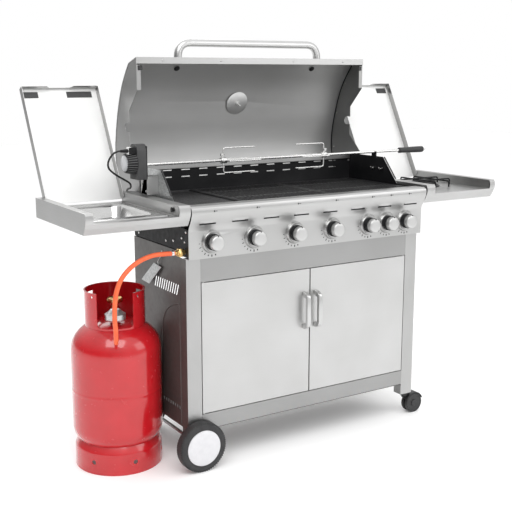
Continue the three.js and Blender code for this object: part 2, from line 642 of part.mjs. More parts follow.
// A wire trivet: two loops crossed by two more, standing on their bent-down ends.
function potSupport() {
  const [cx, cy] = RING_BURNER;
  const [reach, side, wire, top] = [104, 34, 3, DECK + 29];
  const around = (value) => [value - wire, value + wire];
  const bars = [-side, side].flatMap((offset) => [
    box([cx - reach, cx + reach], around(cy + offset), [top - 2 * wire, top]),
    box(around(cx + offset), [cy - reach, cy + reach], [top - 2 * wire, top]),
  ]);
  const legs = [-reach, reach].flatMap((far) => [-side, side].flatMap((near) => [
    box(around(cx + far), around(cy + near), [DECK + GAP, top]),
    box(around(cx + near), around(cy + far), [DECK + GAP, top]),
  ]));
  return join(...bars, ...legs);
}

// ---- rotisserie -----------------------------------------------------------------------------
const MOTOR_X = [-548, -512];
const GRIP_START = 593;
const FORK_X = [-206, 226];
const CAP_CENTRE = [SPIT_Y, 1006];

function addSpit() {
  const bar = rod('x', SPIT_RADIUS, MOTOR_X[1] - 10, GRIP_START + 10, SPIT_AXIS, 12);
  const grip = rod('x', 11, GRIP_START, 718, SPIT_AXIS, 16, 12);
  const ring = new THREE.TorusGeometry(7, 2, 8, 16).translate(724, SPIT_Y, SPIT_Z);
  place('spit_rod', 'polished', join(bar, grip, ring));
  FORK_X.forEach((x, i) => {
    const way = i === 0 ? 1 : -1;
    place(i === 0 ? 'spit_fork_left' : 'spit_fork_right', 'polished', fork(x, way));
  });
}

// A four-pronged meat fork clamped on the spit; its prongs point along `way`.
function fork(x, way) {
  const [reach, length, wire] = [46, 128, 2.5];
  const span = (a, b) => [Math.min(a, b), Math.max(a, b)];
  const hub = rod('x', 11, x - 11, x + 11, SPIT_AXIS, 16);
  const arms = [
    box([x - wire, x + wire], [SPIT_Y - wire, SPIT_Y + wire], [SPIT_Z - reach, SPIT_Z + reach]),
    box([x - wire, x + wire], [SPIT_Y - reach, SPIT_Y + reach], [SPIT_Z - wire, SPIT_Z + wire]),
  ];
  const prongs = [[0, 1], [0, -1], [1, 0], [-1, 0]].map(([a, b]) => box(
    span(x - way * wire, x + way * length),
    [SPIT_Y + a * (reach - wire) - wire, SPIT_Y + a * (reach - wire) + wire],
    [SPIT_Z + b * (reach - wire) - wire, SPIT_Z + b * (reach - wire) + wire],
  ));
  const screw = rod('z', 4, SPIT_Z + 8, SPIT_Z + 24, [x - way * 5, SPIT_Y], 10);
  const bore = rod('x', SPIT_RADIUS + 0.4, x - 20, x + 20, SPIT_AXIS, 12);
  return cut(join(hub, ...arms, ...prongs, screw), bore);
}

function motorCase() {
  const [low, high, bottom, top, round] = [SPIT_Y - 30, SPIT_Y + 30, 952, 1068, 24];
  const outline = [
    [low, bottom], [high, bottom],
    ...circle([high - round, top - round], round, 5, 0, 90),
    ...circle([low + round, top - round], round, 5, 90, 180),
  ];
  const cap = rod('x', 31, MOTOR_X[0] - 30, MOTOR_X[0] + 1, CAP_CENTRE, 28, 37);
  const disc = rod('x', 27, MOTOR_X[0] - 34, MOTOR_X[0] - 28, CAP_CENTRE, 24);
  const [exitX, ...exit] = CORD_EXIT;
  const relief = rod('x', 4.2, exitX, exitX + 32, exit, 12, 7);
  const clamp = box([exitX + 28, MOTOR_X[0] + 1], [213, 231], [1037, 1059]);
  const socket = rod('x', SPIT_RADIUS + 0.8, MOTOR_X[1] - 14, MOTOR_X[1] + 8, SPIT_AXIS, 12);
  return cut(join(prism('x', outline, ...MOTOR_X), cap, disc, relief, clamp), socket);
}

function motorBracket() {
  const face = MOTOR_X[1];
  const plate = box([face + GAP, face + 2 + GAP], [SPIT_Y - 24, SPIT_Y + 24], [900, 1020]);
  const arm = box([face + GAP, -FIREBOX_HALF - GAP], [SPIT_Y - 24, SPIT_Y + 24], [900, 902]);
  const cheeks = [-1, 1].map((side) => {
    const y = [SPIT_Y + side * 24, SPIT_Y + side * 22].sort((a, b) => a - b);
    return box([face + GAP, -FIREBOX_HALF - GAP], y, [900, 960]);
  });
  const port = rod('x', 9, face - 5, face + 8, SPIT_AXIS, 12);
  return cut(join(plate, arm, ...cheeks), port);
}

function addRotisserie() {
  addSpit();
  place('rotisserie_motor', 'black_plastic', motorCase());
  place('motor_bracket', 'galvanised', motorBracket());
}

// The motor's mains lead: round the motor, over the cart's back edge, along two pegs on the
// back panel, down to the floor and into a coil behind the cart.
const CORD_EXIT = [-602, 222, 1048];
const CORD_PEGS = [[-418, 714], [-262, 681]];
const COIL = { x: -150, y: 455, radius: 36, height: 26.3 };
const CORD_ROUTE = [
  [-602.3, 222, 1048], [-611, 222, 1047.5], [-624, 225, 1041], [-633.5, 233, 1026], [-635.5, 245, 1008],
  [-627, 259, 990], [-605, 273.5, 972.5], [-579, 286.5, 957], [-553, 298.5, 943.5], [-531, 313, 931],
  [-517, 334, 918], [-509, 358, 908], [-506, 380, 903], [-504, 395, 897], [-502, 404, 872],
  [-492, 408, 838], [-468, 409, 798], [-444, 408, 757], [-418, 406, 727], [-380, 404, 705],
  [-330, 403, 693], [-285, 403, 692], [-258, 404, 689], [-238, 405, 672], [-228, 406, 640],
  [-225, 407, 560], [-224, 408, 400], [-224, 408, 250], [-225, 410, 120], [-226, 413, 65],
  [-220.4, 415.5, 44], [-205, 417.5, 28.6], [-188, 418.8, 23.4], [-173.5, 419, 23],
];

function addMotorCord() {
  place('motor_cord', 'black_rubber', tube(CORD_ROUTE, CORD_RADIUS, 8, 78));
  const [inner, outer] = [COIL.radius - 3.4, COIL.radius + 3.4];
  const ring = turned([
    [inner, GAP], [outer, GAP], [outer, COIL.height], [inner, COIL.height], [inner, GAP],
  ], 24);
  place('motor_cord_coil', 'black_rubber', ring.translate(COIL.x, COIL.y, 0));
  const start = COIL.x + 23;
  const y = COIL.y - COIL.radius;
  const body = box([start + 18, start + 48], [y - 17, y + 17], [0.4, 14.4]);
  const relief = rod('x', 3.6, start, start + 20, [y, 7.6], 10, 6);
  const pins = [-9.3, 9.3].map((offset) =>
    rod('x', 2, start + 46, start + 67, [y + offset, 7.4], 10));
  place('mains_plug', 'black_plastic', join(body, relief, ...pins));
}

// ---- gas bottle, valve, regulator and hose ------------------------------------------------------
function bottleShell() {
  const r = BOTTLE_RADIUS;
  const outer = [
    [0, 58], [60, 61], [110, 76], [138, 102], [r, 132], [r, 261], [r + 1.5, 264],
    [r, 267], [r, 400], [r - 5, 430], [r - 20, 458], [r - 45, 479], [60, 496], [25, 503], [9, 504],
  ];
  const inner = [
    [9, 500], [56, 493], [103, 475], [126, 454], [r - 3, 398], [r - 3, 135], [108, 80], [0, 61],
  ];
  return turned([...outer, ...inner], 28);
}

function footRing() {
  const ring = turned([
    [143, 0], [146, 0], [146, 68], [132, 98], [127, 94], [143, 66], [143, 0],
  ], 28);
  const holes = [-150, -95, -35].map((degrees) =>
    rod('x', 7, 130, 160, [0, 42], 10).rotateZ(THREE.MathUtils.degToRad(degrees)));
  return cut(ring, ...holes);
}

function collar() {
  const r = COLLAR_RADIUS;
  const ring = turned([
    [r - 3, COLLAR_BOTTOM], [r, COLLAR_BOTTOM - 1], [r, BOTTLE_HEIGHT], [r - 3, BOTTLE_HEIGHT],
    [r - 3, COLLAR_BOTTOM],
  ], 28);
  const mouth = prism('z', [[0, 0], [160, -118], [160, 118]], COLLAR_BOTTOM + 8, BOTTLE_HEIGHT + 5);
  const grips = [-112, 112].map((degrees) =>
    box([60, 130], [-34, 34], [548, 580]).rotateZ(THREE.MathUtils.degToRad(degrees)));
  return cut(ring, mouth, ...grips).rotateZ(OUTLET_HEADING.angle());
}

// Stands a piece, drawn with its front along +X, at the bottle's axis and turns it to the front.
const atBottle = (geometry) =>
  geometry.rotateZ(OUTLET_HEADING.angle()).translate(BOTTLE[0], BOTTLE[1], 0);

const BARB_ANGLE = THREE.MathUtils.degToRad(55);
const BARB_START = [106, 522];
const BARB_LENGTH = 26;

function addGasBottle() {
  const shell = join(bottleShell(), footRing(), collar());
  place('gas_bottle', 'red_paint', shell.translate(BOTTLE[0], BOTTLE[1], 0));
  const valve = join(
    rod('z', 8.4, 492, 510, [0, 0], 12),
    rod('z', 13, 504.3, 541, [0, 0], 12),
    rod('z', 5, 540, 552, [0, 0], 10),
    rod('x', 9, 0, 30, [0, 525], 12),
  );
  place('bottle_valve', 'brass', atBottle(valve));
  const wheel = turned([
    [0, 552.3], [24, 552.3], [26, 556], [26, 564], [22, 569], [0, 569],
  ], 20);
  place('valve_handwheel', 'brass', atBottle(wheel));
  const disc = turned([
    [0, 512], [30, 512], [34, 517], [34, 533], [26, 538], [15, 548], [0, 550],
  ], 24).translate(78, 0, 0);
  const nut = rod('x', 13, 30.3, 46, [0, 525], 6);
  const barb = rod('x', 6.4, 0, BARB_LENGTH, [0, 0], 10).rotateY(BARB_ANGLE)
    .translate(BARB_START[0], 0, BARB_START[1]);
  place('regulator', 'galvanised', atBottle(join(disc, nut, barb)));
}

// From the regulator's barb round an upward bend of this radius, then over to the inlet.
const HOSE_BEND = 62;

function hoseRoute() {
  const [u0, z0] = BARB_START;
  const slope = [Math.cos(BARB_ANGLE), -Math.sin(BARB_ANGLE)];
  const from = (distance) => [u0 + slope[0] * distance, z0 + slope[1] * distance];
  const begin = from(BARB_LENGTH + GAP);
  const bendStart = from(BARB_LENGTH + 10);
  const [bendX, bendZ] = bendStart;
  const centre = [bendX + HOSE_BEND * Math.sin(BARB_ANGLE), bendZ + HOSE_BEND * Math.cos(BARB_ANGLE)];
  const bend = Array.from({ length: 8 }, (_, i) => {
    const heading = -BARB_ANGLE + (i / 7) * THREE.MathUtils.degToRad(137);
    return [centre[0] + HOSE_BEND * Math.sin(heading), centre[1] - HOSE_BEND * Math.cos(heading)];
  });
  const rise = [begin, ...bend].map(([u, z]) =>
    [BOTTLE[0] + OUTLET_HEADING.x * u, BOTTLE[1] + OUTLET_HEADING.y * u, z]);
  return [
    ...rise, [-737, -8, 562], [-735, -8, 602], [-728, -6, 640], [-711, -3, 676], [-681, 1, 706],
    [-640, 6, 728], [-592, 10, 739], [-552, 12, 739], [-530, 12, 738], [-518.6, 12, 738],
  ];
}

function addHose() {
  place('gas_hose', 'orange_rubber', tube(hoseRoute(), HOSE_RADIUS, 10, 34));
}

// ---- wheels -----------------------------------------------------------------------------------
function addWheels() {
  const profile = [
    [0, 32], [6.5, 32], [6.5, 0], [26, 0], [26, 5], [64, 5], [66, 0], [80, 0], [WHEEL_RADIUS, 5],
    [WHEEL_RADIUS, 33], [80, WHEEL_WIDTH], [61, WHEEL_WIDTH], [60, 41], [42, 44.5], [0, 45],
  ];
  const wheel = turned(profile, 28);
  const front = wheel.clone().rotateX(Math.PI / 2).translate(WHEEL_X, -3, WHEEL_RADIUS);
  const rear = wheel.clone().rotateX(-Math.PI / 2).translate(WHEEL_X, DEPTH + 3, WHEEL_RADIUS);
  place('wheel_front', 'black_rubber', front);
  place('wheel_rear', 'black_rubber', rear);
  place('wheel_axle', 'galvanised', rod('y', AXLE_RADIUS, -32, DEPTH + 32, [WHEEL_X, WHEEL_RADIUS], 12));
}

function addCasters() {
  CASTER_Y.forEach((y, i) => {
    const end = i === 0 ? 'front' : 'rear';
    const hub = [CASTER_X + CASTER_TRAIL, CASTER_RADIUS];
    const stem = rod('z', 13, 72, POST_BOTTOM - GAP, [CASTER_X, y], 16);
    const plate = rod('z', 20, POST_BOTTOM - 5, POST_BOTTOM - GAP, [CASTER_X, y], 16);
    const web = prism('y', [
      [CASTER_X - 12, 72], [hub[0] - 10, hub[1] - 8], [hub[0] + 8, hub[1] - 8],
      [hub[0] + 10, hub[1] + 10], [CASTER_X + 14, 84], [CASTER_X - 12, 84],
    ].reverse(), y - 3, y + 3);
    const hoodOutline = [...circle(hub, 43, 10, 20, 150), ...circle(hub, 40.5, 10, 20, 150).reverse()];
    const hood = prism('y', hoodOutline, y - 18, y + 18);
    const strut = box([hub[0] - 24, hub[0] + 6], [y - 3, y + 3], [hub[1] + 6, hub[1] + 42]);
    const bore = rod('y', 4.6, y - 10, y + 10, hub, 12);
    place(`caster_fork_${end}`, 'black_plastic', cut(join(stem, plate, web, hood, strut), bore));
    const roller = turned([
      [0, -19], [14, -19], [14, -17], [36, -17], [CASTER_RADIUS, -15], [CASTER_RADIUS, -6],
      [36, -4], [4, -4], [4, 4], [36, 4], [CASTER_RADIUS, 6], [CASTER_RADIUS, 15], [36, 17],
      [14, 17], [14, 19], [0, 19],
    ], 18);
    roller.rotateX(Math.PI / 2).translate(hub[0], y, hub[1]);
    place(`caster_wheel_${end}`, 'black_rubber', roller);
  });
}

addPosts();
addSidePanels();
addFrontRails();
addShelf();
addBackPanel();
addDoors();
addControlPanel();
addKnobs();
addGasLine();
addFirebox();
addCookingParts();
addGreaseTray();
addHood();
addSideTables();
addRotisserie();
addMotorCord();
addGasBottle();
addHose();
addWheels();
addCasters();

export default grill;
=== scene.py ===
"""Looks of the gas barbecue grill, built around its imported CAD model.

Places are written in the CAD layout's millimetres (X = 0 at the middle of the cabinet, Y = 0 at
the door face, Z = 0 on the floor); spot() turns them into metres in the shared frame.
"""
import json
from math import cos, pi, radians, sin

import bmesh
import bpy
from mathutils import Matrix, Vector


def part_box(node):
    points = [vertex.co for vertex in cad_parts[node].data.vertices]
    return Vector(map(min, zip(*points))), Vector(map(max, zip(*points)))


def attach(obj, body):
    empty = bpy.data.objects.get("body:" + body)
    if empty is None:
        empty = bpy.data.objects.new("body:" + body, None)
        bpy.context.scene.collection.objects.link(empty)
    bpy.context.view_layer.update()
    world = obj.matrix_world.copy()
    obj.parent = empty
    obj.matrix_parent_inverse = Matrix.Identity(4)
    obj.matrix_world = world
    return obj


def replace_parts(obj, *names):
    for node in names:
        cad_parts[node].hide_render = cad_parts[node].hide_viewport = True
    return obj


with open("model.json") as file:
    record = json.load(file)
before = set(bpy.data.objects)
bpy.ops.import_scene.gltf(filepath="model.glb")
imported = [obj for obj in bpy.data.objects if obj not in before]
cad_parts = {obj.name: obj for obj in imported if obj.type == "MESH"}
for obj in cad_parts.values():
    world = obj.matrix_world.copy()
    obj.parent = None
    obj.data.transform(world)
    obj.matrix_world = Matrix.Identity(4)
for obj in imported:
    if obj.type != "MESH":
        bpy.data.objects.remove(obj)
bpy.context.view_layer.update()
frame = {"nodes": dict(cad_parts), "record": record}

MM = 0.001
CENTRE_Y = 259.5  # layout Y of the shared frame's origin


def spot(x, y, z):
    """A layout point in millimetres as a point of the shared frame in metres."""
    return Vector((x, y - CENTRE_Y, z)) * MM


# ---- camera, floor and light ------------------------------------------------------------------
CAMERA_SPOT = (-1804.6, -2518.9, 1293.8)
CAMERA_LOOK = Vector((0.5217, 0.8303, -0.1959))
CAMERA_LENS = 64.1  # millimetres, on a 36 mm sensor


def make_camera():
    data = bpy.data.cameras.new("camera")
    data.sensor_width = 36
    data.lens = CAMERA_LENS
    data.clip_end = 60
    camera = bpy.data.objects.new("camera", data)
    camera.location = spot(*CAMERA_SPOT)
    camera.rotation_mode = "QUATERNION"
    camera.rotation_quaternion = CAMERA_LOOK.to_track_quat("-Z", "Y")
    bpy.context.scene.collection.objects.link(camera)
    bpy.context.scene.camera = camera


def area_light(name, place, aim, size, power):
    data = bpy.data.lights.new(name, "AREA")
    data.shape = "RECTANGLE"
    data.size, data.size_y = size
    data.energy = power
    light = bpy.data.objects.new(name, data)
    light.location = place
    light.rotation_mode = "QUATERNION"
    light.rotation_quaternion = (Vector(aim) - Vector(place)).to_track_quat("-Z", "Y")
    bpy.context.scene.collection.objects.link(light)


def make_world():
    """White behind the object; for light and reflections a bright top and a dimmer left side."""
    world = bpy.data.worlds.new("studio")
    world.use_nodes = True
    bpy.context.scene.world = world
    nodes, links = world.node_tree.nodes, world.node_tree.links
    nodes.clear()
    direction = nodes.new("ShaderNodeTexCoord").outputs["Generated"]
    split = nodes.new("ShaderNodeSeparateXYZ")
    links.new(direction, split.inputs[0])
    side = nodes.new("ShaderNodeMapRange")
    side.interpolation_type = "SMOOTHSTEP"
    for name, value in (("From Min", -1.0), ("From Max", 0.1), ("To Min", 0.14), ("To Max", 0.62)):
        side.inputs[name].default_value = value
    links.new(split.outputs["X"], side.inputs["Value"])
    height = nodes.new("ShaderNodeMapRange")
    height.interpolation_type = "SMOOTHSTEP"
    for name, value in (("From Min", 0.0), ("From Max", 0.75), ("To Min", 0.0), ("To Max", 0.56)):
        height.inputs[name].default_value = value
    links.new(split.outputs["Z"], height.inputs["Value"])
    total = nodes.new("ShaderNodeMath")
    links.new(side.outputs["Result"], total.inputs[0])
    links.new(height.outputs["Result"], total.inputs[1])
    ray = nodes.new("ShaderNodeLightPath")
    seen = nodes.new("ShaderNodeMath")
    seen.operation = "MAXIMUM"
    links.new(total.outputs[0], seen.inputs[0])
    links.new(ray.outputs["Is Camera Ray"], seen.inputs[1])
    background = nodes.new("ShaderNodeBackground")
    background.inputs["Color"].default_value = (1, 1, 1, 1)
    links.new(seen.outputs[0], background.inputs["Strength"])
    output = nodes.new("ShaderNodeOutputWorld")
    links.new(background.outputs[0], output.inputs["Surface"])


def make_floor():
    mesh = bpy.data.meshes.new("floor")
    half = 14  # metres
    corners = [(-half, -half, 0), (half, -half, 0), (half, half, 0), (-half, half, 0)]
    mesh.from_pydata(corners, [], [(0, 1, 2, 3)])
    floor = bpy.data.objects.new("floor", mesh)
    bpy.context.scene.collection.objects.link(floor)
    mesh.materials.append(plain_material("floor", (0.93, 0.93, 0.93), 0.85, Emission_Strength=0.1))


def make_studio():
    make_world()
    make_floor()
    area_light("key", (-1.6, -2.2, 3.6), (0, 0, 0.6), (3.0, 2.2), 75)
    area_light("fill", (2.6, -3.2, 2.4), (0, 0, 0.6), (2.4, 2.4), 30)
    area_light("rear", (0.4, 3.2, 3.2), (0, 0, 0.8), (3.2, 1.8), 38)
    bpy.context.scene.view_settings.view_transform = "Standard"


# ---- materials ----------------------------------------------------------------------------------
def plain_material(name, color, roughness, metallic=0.0, **sockets):
    """A Principled material; its uniform values sit on the shader's own sockets."""
    material = bpy.data.materials.new(name)
    material.use_nodes = True
    shader = material.node_tree.nodes["Principled BSDF"]
    shader.inputs["Base Color"].default_value = (*color, 1)
    shader.inputs["Roughness"].default_value = roughness
    shader.inputs["Metallic"].default_value = metallic
    for socket, value in sockets.items():
        shader.inputs[socket.replace("_", " ")].default_value = value
    return material


def noise(material, scale, stretch=(1, 1, 1), detail=3.0):
    """The value of a noise over the object's own coordinates, in features per metre."""
    nodes, links = material.node_tree.nodes, material.node_tree.links
    mapping = nodes.new("ShaderNodeMapping")
    mapping.inputs["Scale"].default_value = stretch
    links.new(nodes.new("ShaderNodeTexCoord").outputs["Object"], mapping.inputs["Vector"])
    texture = nodes.new("ShaderNodeTexNoise")
    texture.inputs["Scale"].default_value = scale
    texture.inputs["Detail"].default_value = detail
    links.new(mapping.outputs[0], texture.inputs["Vector"])
    return texture.outputs["Fac"]


def spread(material, value, low, high):
    """The value's middle range widened to run from low to high."""
    node = material.node_tree.nodes.new("ShaderNodeMapRange")
    for name, number in (("From Min", 0.3), ("From Max", 0.7), ("To Min", low), ("To Max", high)):
        node.inputs[name].default_value = number
    material.node_tree.links.new(value, node.inputs["Value"])
    return node.outputs["Result"]


def vary_color(material, value, dark, light):
    mix = material.node_tree.nodes.new("ShaderNodeMix")
    mix.data_type = "RGBA"
    mix.inputs["A"].default_value = (*dark, 1)
    mix.inputs["B"].default_value = (*light, 1)
    nodes, links = material.node_tree.nodes, material.node_tree.links
    links.new(spread(material, value, 0, 1), mix.inputs["Factor"])
    links.new(mix.outputs["Result"], nodes["Principled BSDF"].inputs["Base Color"])


def vary_roughness(material, value, low, high):
    shader = material.node_tree.nodes["Principled BSDF"]
    material.node_tree.links.new(spread(material, value, low, high), shader.inputs["Roughness"])


def add_bump(material, value, strength, depth):
    """Raises the surface by the value; depth is in millimetres."""
    nodes, links = material.node_tree.nodes, material.node_tree.links
    bump = nodes.new("ShaderNodeBump")
    bump.inputs["Strength"].default_value = strength
    bump.inputs["Distance"].default_value = depth * MM
    links.new(value, bump.inputs["Height"])
    links.new(bump.outputs[0], nodes["Principled BSDF"].inputs["Normal"])


def brushed(name, light, roughness, stretch, metallic=1.0):
    """Brushed sheet: fine lines along the axis with the small stretch, over slow clouding."""
    material = plain_material(name, (light,) * 3, roughness, metallic)
    lines = noise(material, 900, stretch, 2.0)
    clouds = noise(material, 5, detail=2.0)
    vary_color(material, clouds, (light * 0.93, light * 0.93, light * 0.92),
               (light, light, light * 0.995))
    vary_roughness(material, lines, roughness - 0.04, roughness + 0.05)
    add_bump(material, lines, 0.1, 0.03)
    return material


def painted(name, dark, light, roughness, grain=260, depth=0.05, **sockets):
    """Sprayed paint with a fine orange-peel surface and slight unevenness of tone."""
    material = plain_material(name, light, roughness, **sockets)
    vary_color(material, noise(material, 14, detail=4.0), dark, light)
    vary_roughness(material, noise(material, 60), roughness - 0.05, roughness + 0.08)
    add_bump(material, noise(material, grain, detail=1.0), 0.3, depth)
    return material


def rough_cast(name, dark, light, roughness, grain, depth, metallic=0.0):
    """Cast, moulded or rubber surface: pitted grain and uneven gloss."""
    material = plain_material(name, light, roughness, metallic)
    vary_color(material, noise(material, 45, detail=5.0), dark, light)
    vary_roughness(material, noise(material, 160), roughness - 0.08, roughness + 0.1)
    add_bump(material, noise(material, grain, detail=2.0), 0.5, depth)
    return material


def zinc(name):
    """Galvanised sheet with its crystal flakes."""
    material = plain_material(name, (0.6, 0.61, 0.61), 0.4, 1.0)
    flakes = material.node_tree.nodes.new("ShaderNodeTexVoronoi")
    flakes.inputs["Scale"].default_value = 220
    place = material.node_tree.nodes.new("ShaderNodeTexCoord").outputs["Object"]
    material.node_tree.links.new(place, flakes.inputs["Vector"])
    grey = material.node_tree.nodes.new("ShaderNodeRGBToBW")
    material.node_tree.links.new(flakes.outputs["Color"], grey.inputs[0])
    vary_color(material, grey.outputs[0], (0.5, 0.51, 0.51), (0.66, 0.67, 0.67))
    vary_roughness(material, grey.outputs[0], 0.34, 0.46)
    return material


STEEL = brushed("stainless", 0.52, 0.34, (0.02, 1, 1))
STEEL_RAIL = brushed("stainless_rail", 0.37, 0.36, (0.02, 1, 1))
STEEL_DOOR = brushed("stainless_door", 0.58, 0.38, (0.02, 1, 1))
STEEL_UPRIGHT = brushed("stainless_upright", 0.47, 0.36, (1, 1, 0.02))
# brushed across Y for the burners and faces turned sideways; its darker tone is painted shade on
# them
STEEL_CROSSED_SHADED = brushed("stainless_crossed_shaded", 0.4, 0.36, (1, 0.02, 1))
STEEL_INSIDE = brushed("stainless_inside", 0.58, 0.5, (0.02, 1, 1))
# darker copy of the stainless for the hood ends' inner faces: painted shade
STEEL_END_SHADED = brushed("stainless_end_shaded", 0.27, 0.46, (1, 0.02, 1))
STEEL_SINK = brushed("stainless_sink", 0.55, 0.2, (1, 1, 1))
# near white with little metal: the bright reflection on the open lids' inner faces painted into the
# colour; the motor's tab uses it too
LID_INSIDE = brushed("lid_inside", 0.93, 0.5, (0.02, 1, 1), 0.12)
GAUGE_STEEL = brushed("gauge_steel", 0.72, 0.4, (1, 1, 1), 0.85)
BRIGHT = plain_material("bright_steel", (0.7, 0.7, 0.69), 0.24, 1.0)
vary_roughness(BRIGHT, noise(BRIGHT, 120), 0.2, 0.3)
BEZEL = plain_material("bezel_steel", (0.42, 0.42, 0.415), 0.3, 1.0)
vary_roughness(BEZEL, noise(BEZEL, 120), 0.26, 0.36)
BAR_STEEL = brushed("bar_steel", 0.6, 0.3, (1, 1, 1))
SATIN = brushed("satin_steel", 0.6, 0.44, (1, 1, 1))
CABINET = painted("cabinet_paint", (0.088, 0.083, 0.079), (0.112, 0.107, 0.102), 0.38,
                  Metallic=0.35)
ENAMEL = painted("black_enamel", (0.005, 0.005, 0.006), (0.01, 0.01, 0.011), 0.5, grain=420,
                 Specular_IOR_Level=0.22)
IRON = rough_cast("cast_iron", (0.022, 0.022, 0.023), (0.042, 0.042, 0.043), 0.46, 700, 0.12, 0.4)
ZINC = zinc("zinc")
BRASS = plain_material("brass", (0.72, 0.5, 0.2), 0.28, 1.0)
vary_color(BRASS, noise(BRASS, 90), (0.62, 0.41, 0.15), (0.78, 0.56, 0.25))
RED = painted("bottle_paint", (0.5, 0.006, 0.011), (0.56, 0.009, 0.016), 0.2, grain=60, depth=0.006,
              Coat_Weight=0.7, Coat_Roughness=0.05)
HOSE = rough_cast("hose_rubber", (0.8, 0.115, 0.035), (0.9, 0.15, 0.05), 0.45, 900, 0.04)
CORD = rough_cast("cord_rubber", (0.012, 0.012, 0.012), (0.02, 0.02, 0.021), 0.5, 900, 0.04)
TYRE = rough_cast("tyre_rubber", (0.022, 0.022, 0.023), (0.035, 0.035, 0.036), 0.62, 420, 0.12)
# black plastic parts; also the black strips behind the door gaps, painted shade
BLACK = rough_cast("black_plastic", (0.018, 0.018, 0.019), (0.028, 0.028, 0.029), 0.45, 1200, 0.05)
# the motor's grey plastic; also the dark pads inside the open lids, painted shadow
MOTOR_GREY = rough_cast("motor_plastic_and_lid_shadow", (0.036, 0.036, 0.037), (0.048, 0.048, 0.049), 0.5, 1200,
                        0.05)
RIB_GREY = rough_cast("rib_plastic", (0.06, 0.06, 0.061), (0.085, 0.085, 0.086), 0.45, 1200, 0.05)
HUB = rough_cast("hub_plastic", (0.66, 0.66, 0.68), (0.72, 0.72, 0.74), 0.4, 800, 0.03)
DISC = plain_material("label_disc", (0.62, 0.63, 0.65), 0.35, 0.3)
# printed marks, the deep black trim, and black as painted shade in the vent slots and the hood
# joints
MARK_AND_SHADE = plain_material("printed_marks_and_shade", (0.012, 0.012, 0.013), 0.5, Specular_IOR_Level=0.2)
DIAL = plain_material("dial_face", (0.78, 0.78, 0.76), 0.35)


# ---- building helpers ---------------------------------------------------------------------------
SIDES = (("left", -1), ("right", 1))
BOX_FACES = ((0, 1, 3, 2), (4, 6, 7, 5), (0, 4, 5, 1), (2, 3, 7, 6), (0, 2, 6, 4), (1, 5, 7, 3))


def settle(name, mesh, material, body="cart", replaces=()):
    """Makes the object of a finished mesh: its material, body and the CAD nodes it hides."""
    piece = bpy.data.objects.new(name, mesh)
    bpy.context.scene.collection.objects.link(piece)
    for each in material if isinstance(material, list) else [material]:
        mesh.materials.append(each)
    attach(piece, body)
    if replaces:
        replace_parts(piece, *replaces)
    return piece


def smooth(mesh, angle=35):
    """Smooth shading with sharp edges above an angle in degrees."""
    mesh.polygons.foreach_set("use_smooth", [True] * len(mesh.polygons))
    mesh.set_sharp_from_angle(angle=radians(angle))
    mesh.update()


def soften(piece, width, segments=2, angle=35):
    """Rounds the piece's sharp edges by a width in millimetres."""
    bevel = piece.modifiers.new("edges", "BEVEL")
    bevel.width = width * MM
    bevel.segments = segments
    bevel.limit_method = "ANGLE"
    bevel.angle_limit = radians(angle)
    bevel.harden_normals = True
    return piece


def clean(bm):
    """Joins doubled points and merges the flat triangles of a CAD mesh."""
    bmesh.ops.remove_doubles(bm, verts=bm.verts, dist=0.00002)
    bmesh.ops.dissolve_limit(bm, angle_limit=radians(0.3), verts=bm.verts, edges=bm.edges)
    bmesh.ops.recalc_face_normals(bm, faces=bm.faces)


def body_of(node):
    groups = frame["record"]["behaviour"]["bodies"]
    return next(body for body, nodes in groups.items() if node in nodes)


def refined(node, material, edge=0.4, angle=35, pick=None):
    """A fresh mesh of a CAD node with merged flat faces and softened edges.
    pick(centre, normal) chooses a face's material index; centre is in layout millimetres."""
    mesh = bpy.data.meshes.new(node + "_fine")
    bm = bmesh.new()
    bm.from_mesh(frame["nodes"][node].data)
    clean(bm)
    if pick:
        for face in bm.faces:
            centre = face.calc_center_median() / MM + Vector((0, CENTRE_Y, 0))
            face.material_index = pick(centre, face.normal)
    bm.to_mesh(mesh)
    bm.free()
    smooth(mesh, angle)
    piece = settle(node + "_fine", mesh, material, body_of(node), replaces=[node])
    return soften(piece, edge, angle=angle) if edge else piece


def mesh_from(name, points, faces, angle=35):
    """A mesh from layout points and faces, with its normals turned out."""
    mesh = bpy.data.meshes.new(name)
    mesh.from_pydata([spot(*p) for p in points], [], faces)
    bm = bmesh.new()
    bm.from_mesh(mesh)
    bmesh.ops.remove_doubles(bm, verts=bm.verts, dist=0.00001)
    bmesh.ops.recalc_face_normals(bm, faces=bm.faces)
    bm.to_mesh(mesh)
    bm.free()
    smooth(mesh, angle)
    return mesh


AXES = {
    "x": lambda r, h, a: (h, r * cos(a), r * sin(a)),
    "y": lambda r, h, a: (r * sin(a), h, r * cos(a)),
    "z": lambda r, h, a: (r * cos(a), r * sin(a), h),
}


def lathe(name, profile, centre, axis="z", steps=64, turn=None, angle=35):
    """A turned mesh from (radius, height) points about an axis through centre."""
    points, faces = [], []
    for i in range(steps):
        for r, h in profile:
            p = Vector(AXES[axis](r, h, 2 * pi * i / steps))
            points.append((turn @ p if turn else p) + Vector(centre))
    rows = len(profile)
    for i in range(steps):
        for j in range(rows - 1):
            a, b = i * rows + j, ((i + 1) % steps) * rows + j
            faces.append((a, b, b + 1, a + 1))
    return mesh_from(name, points, faces, angle)


def turned(name, profile, centre, axis, steps, material, body="cart", replaces=(),
           turn=None):
    """A turned piece of one material."""
    mesh = lathe(name, profile, centre, axis, steps, turn)
    return settle(name, mesh, material, body, replaces)


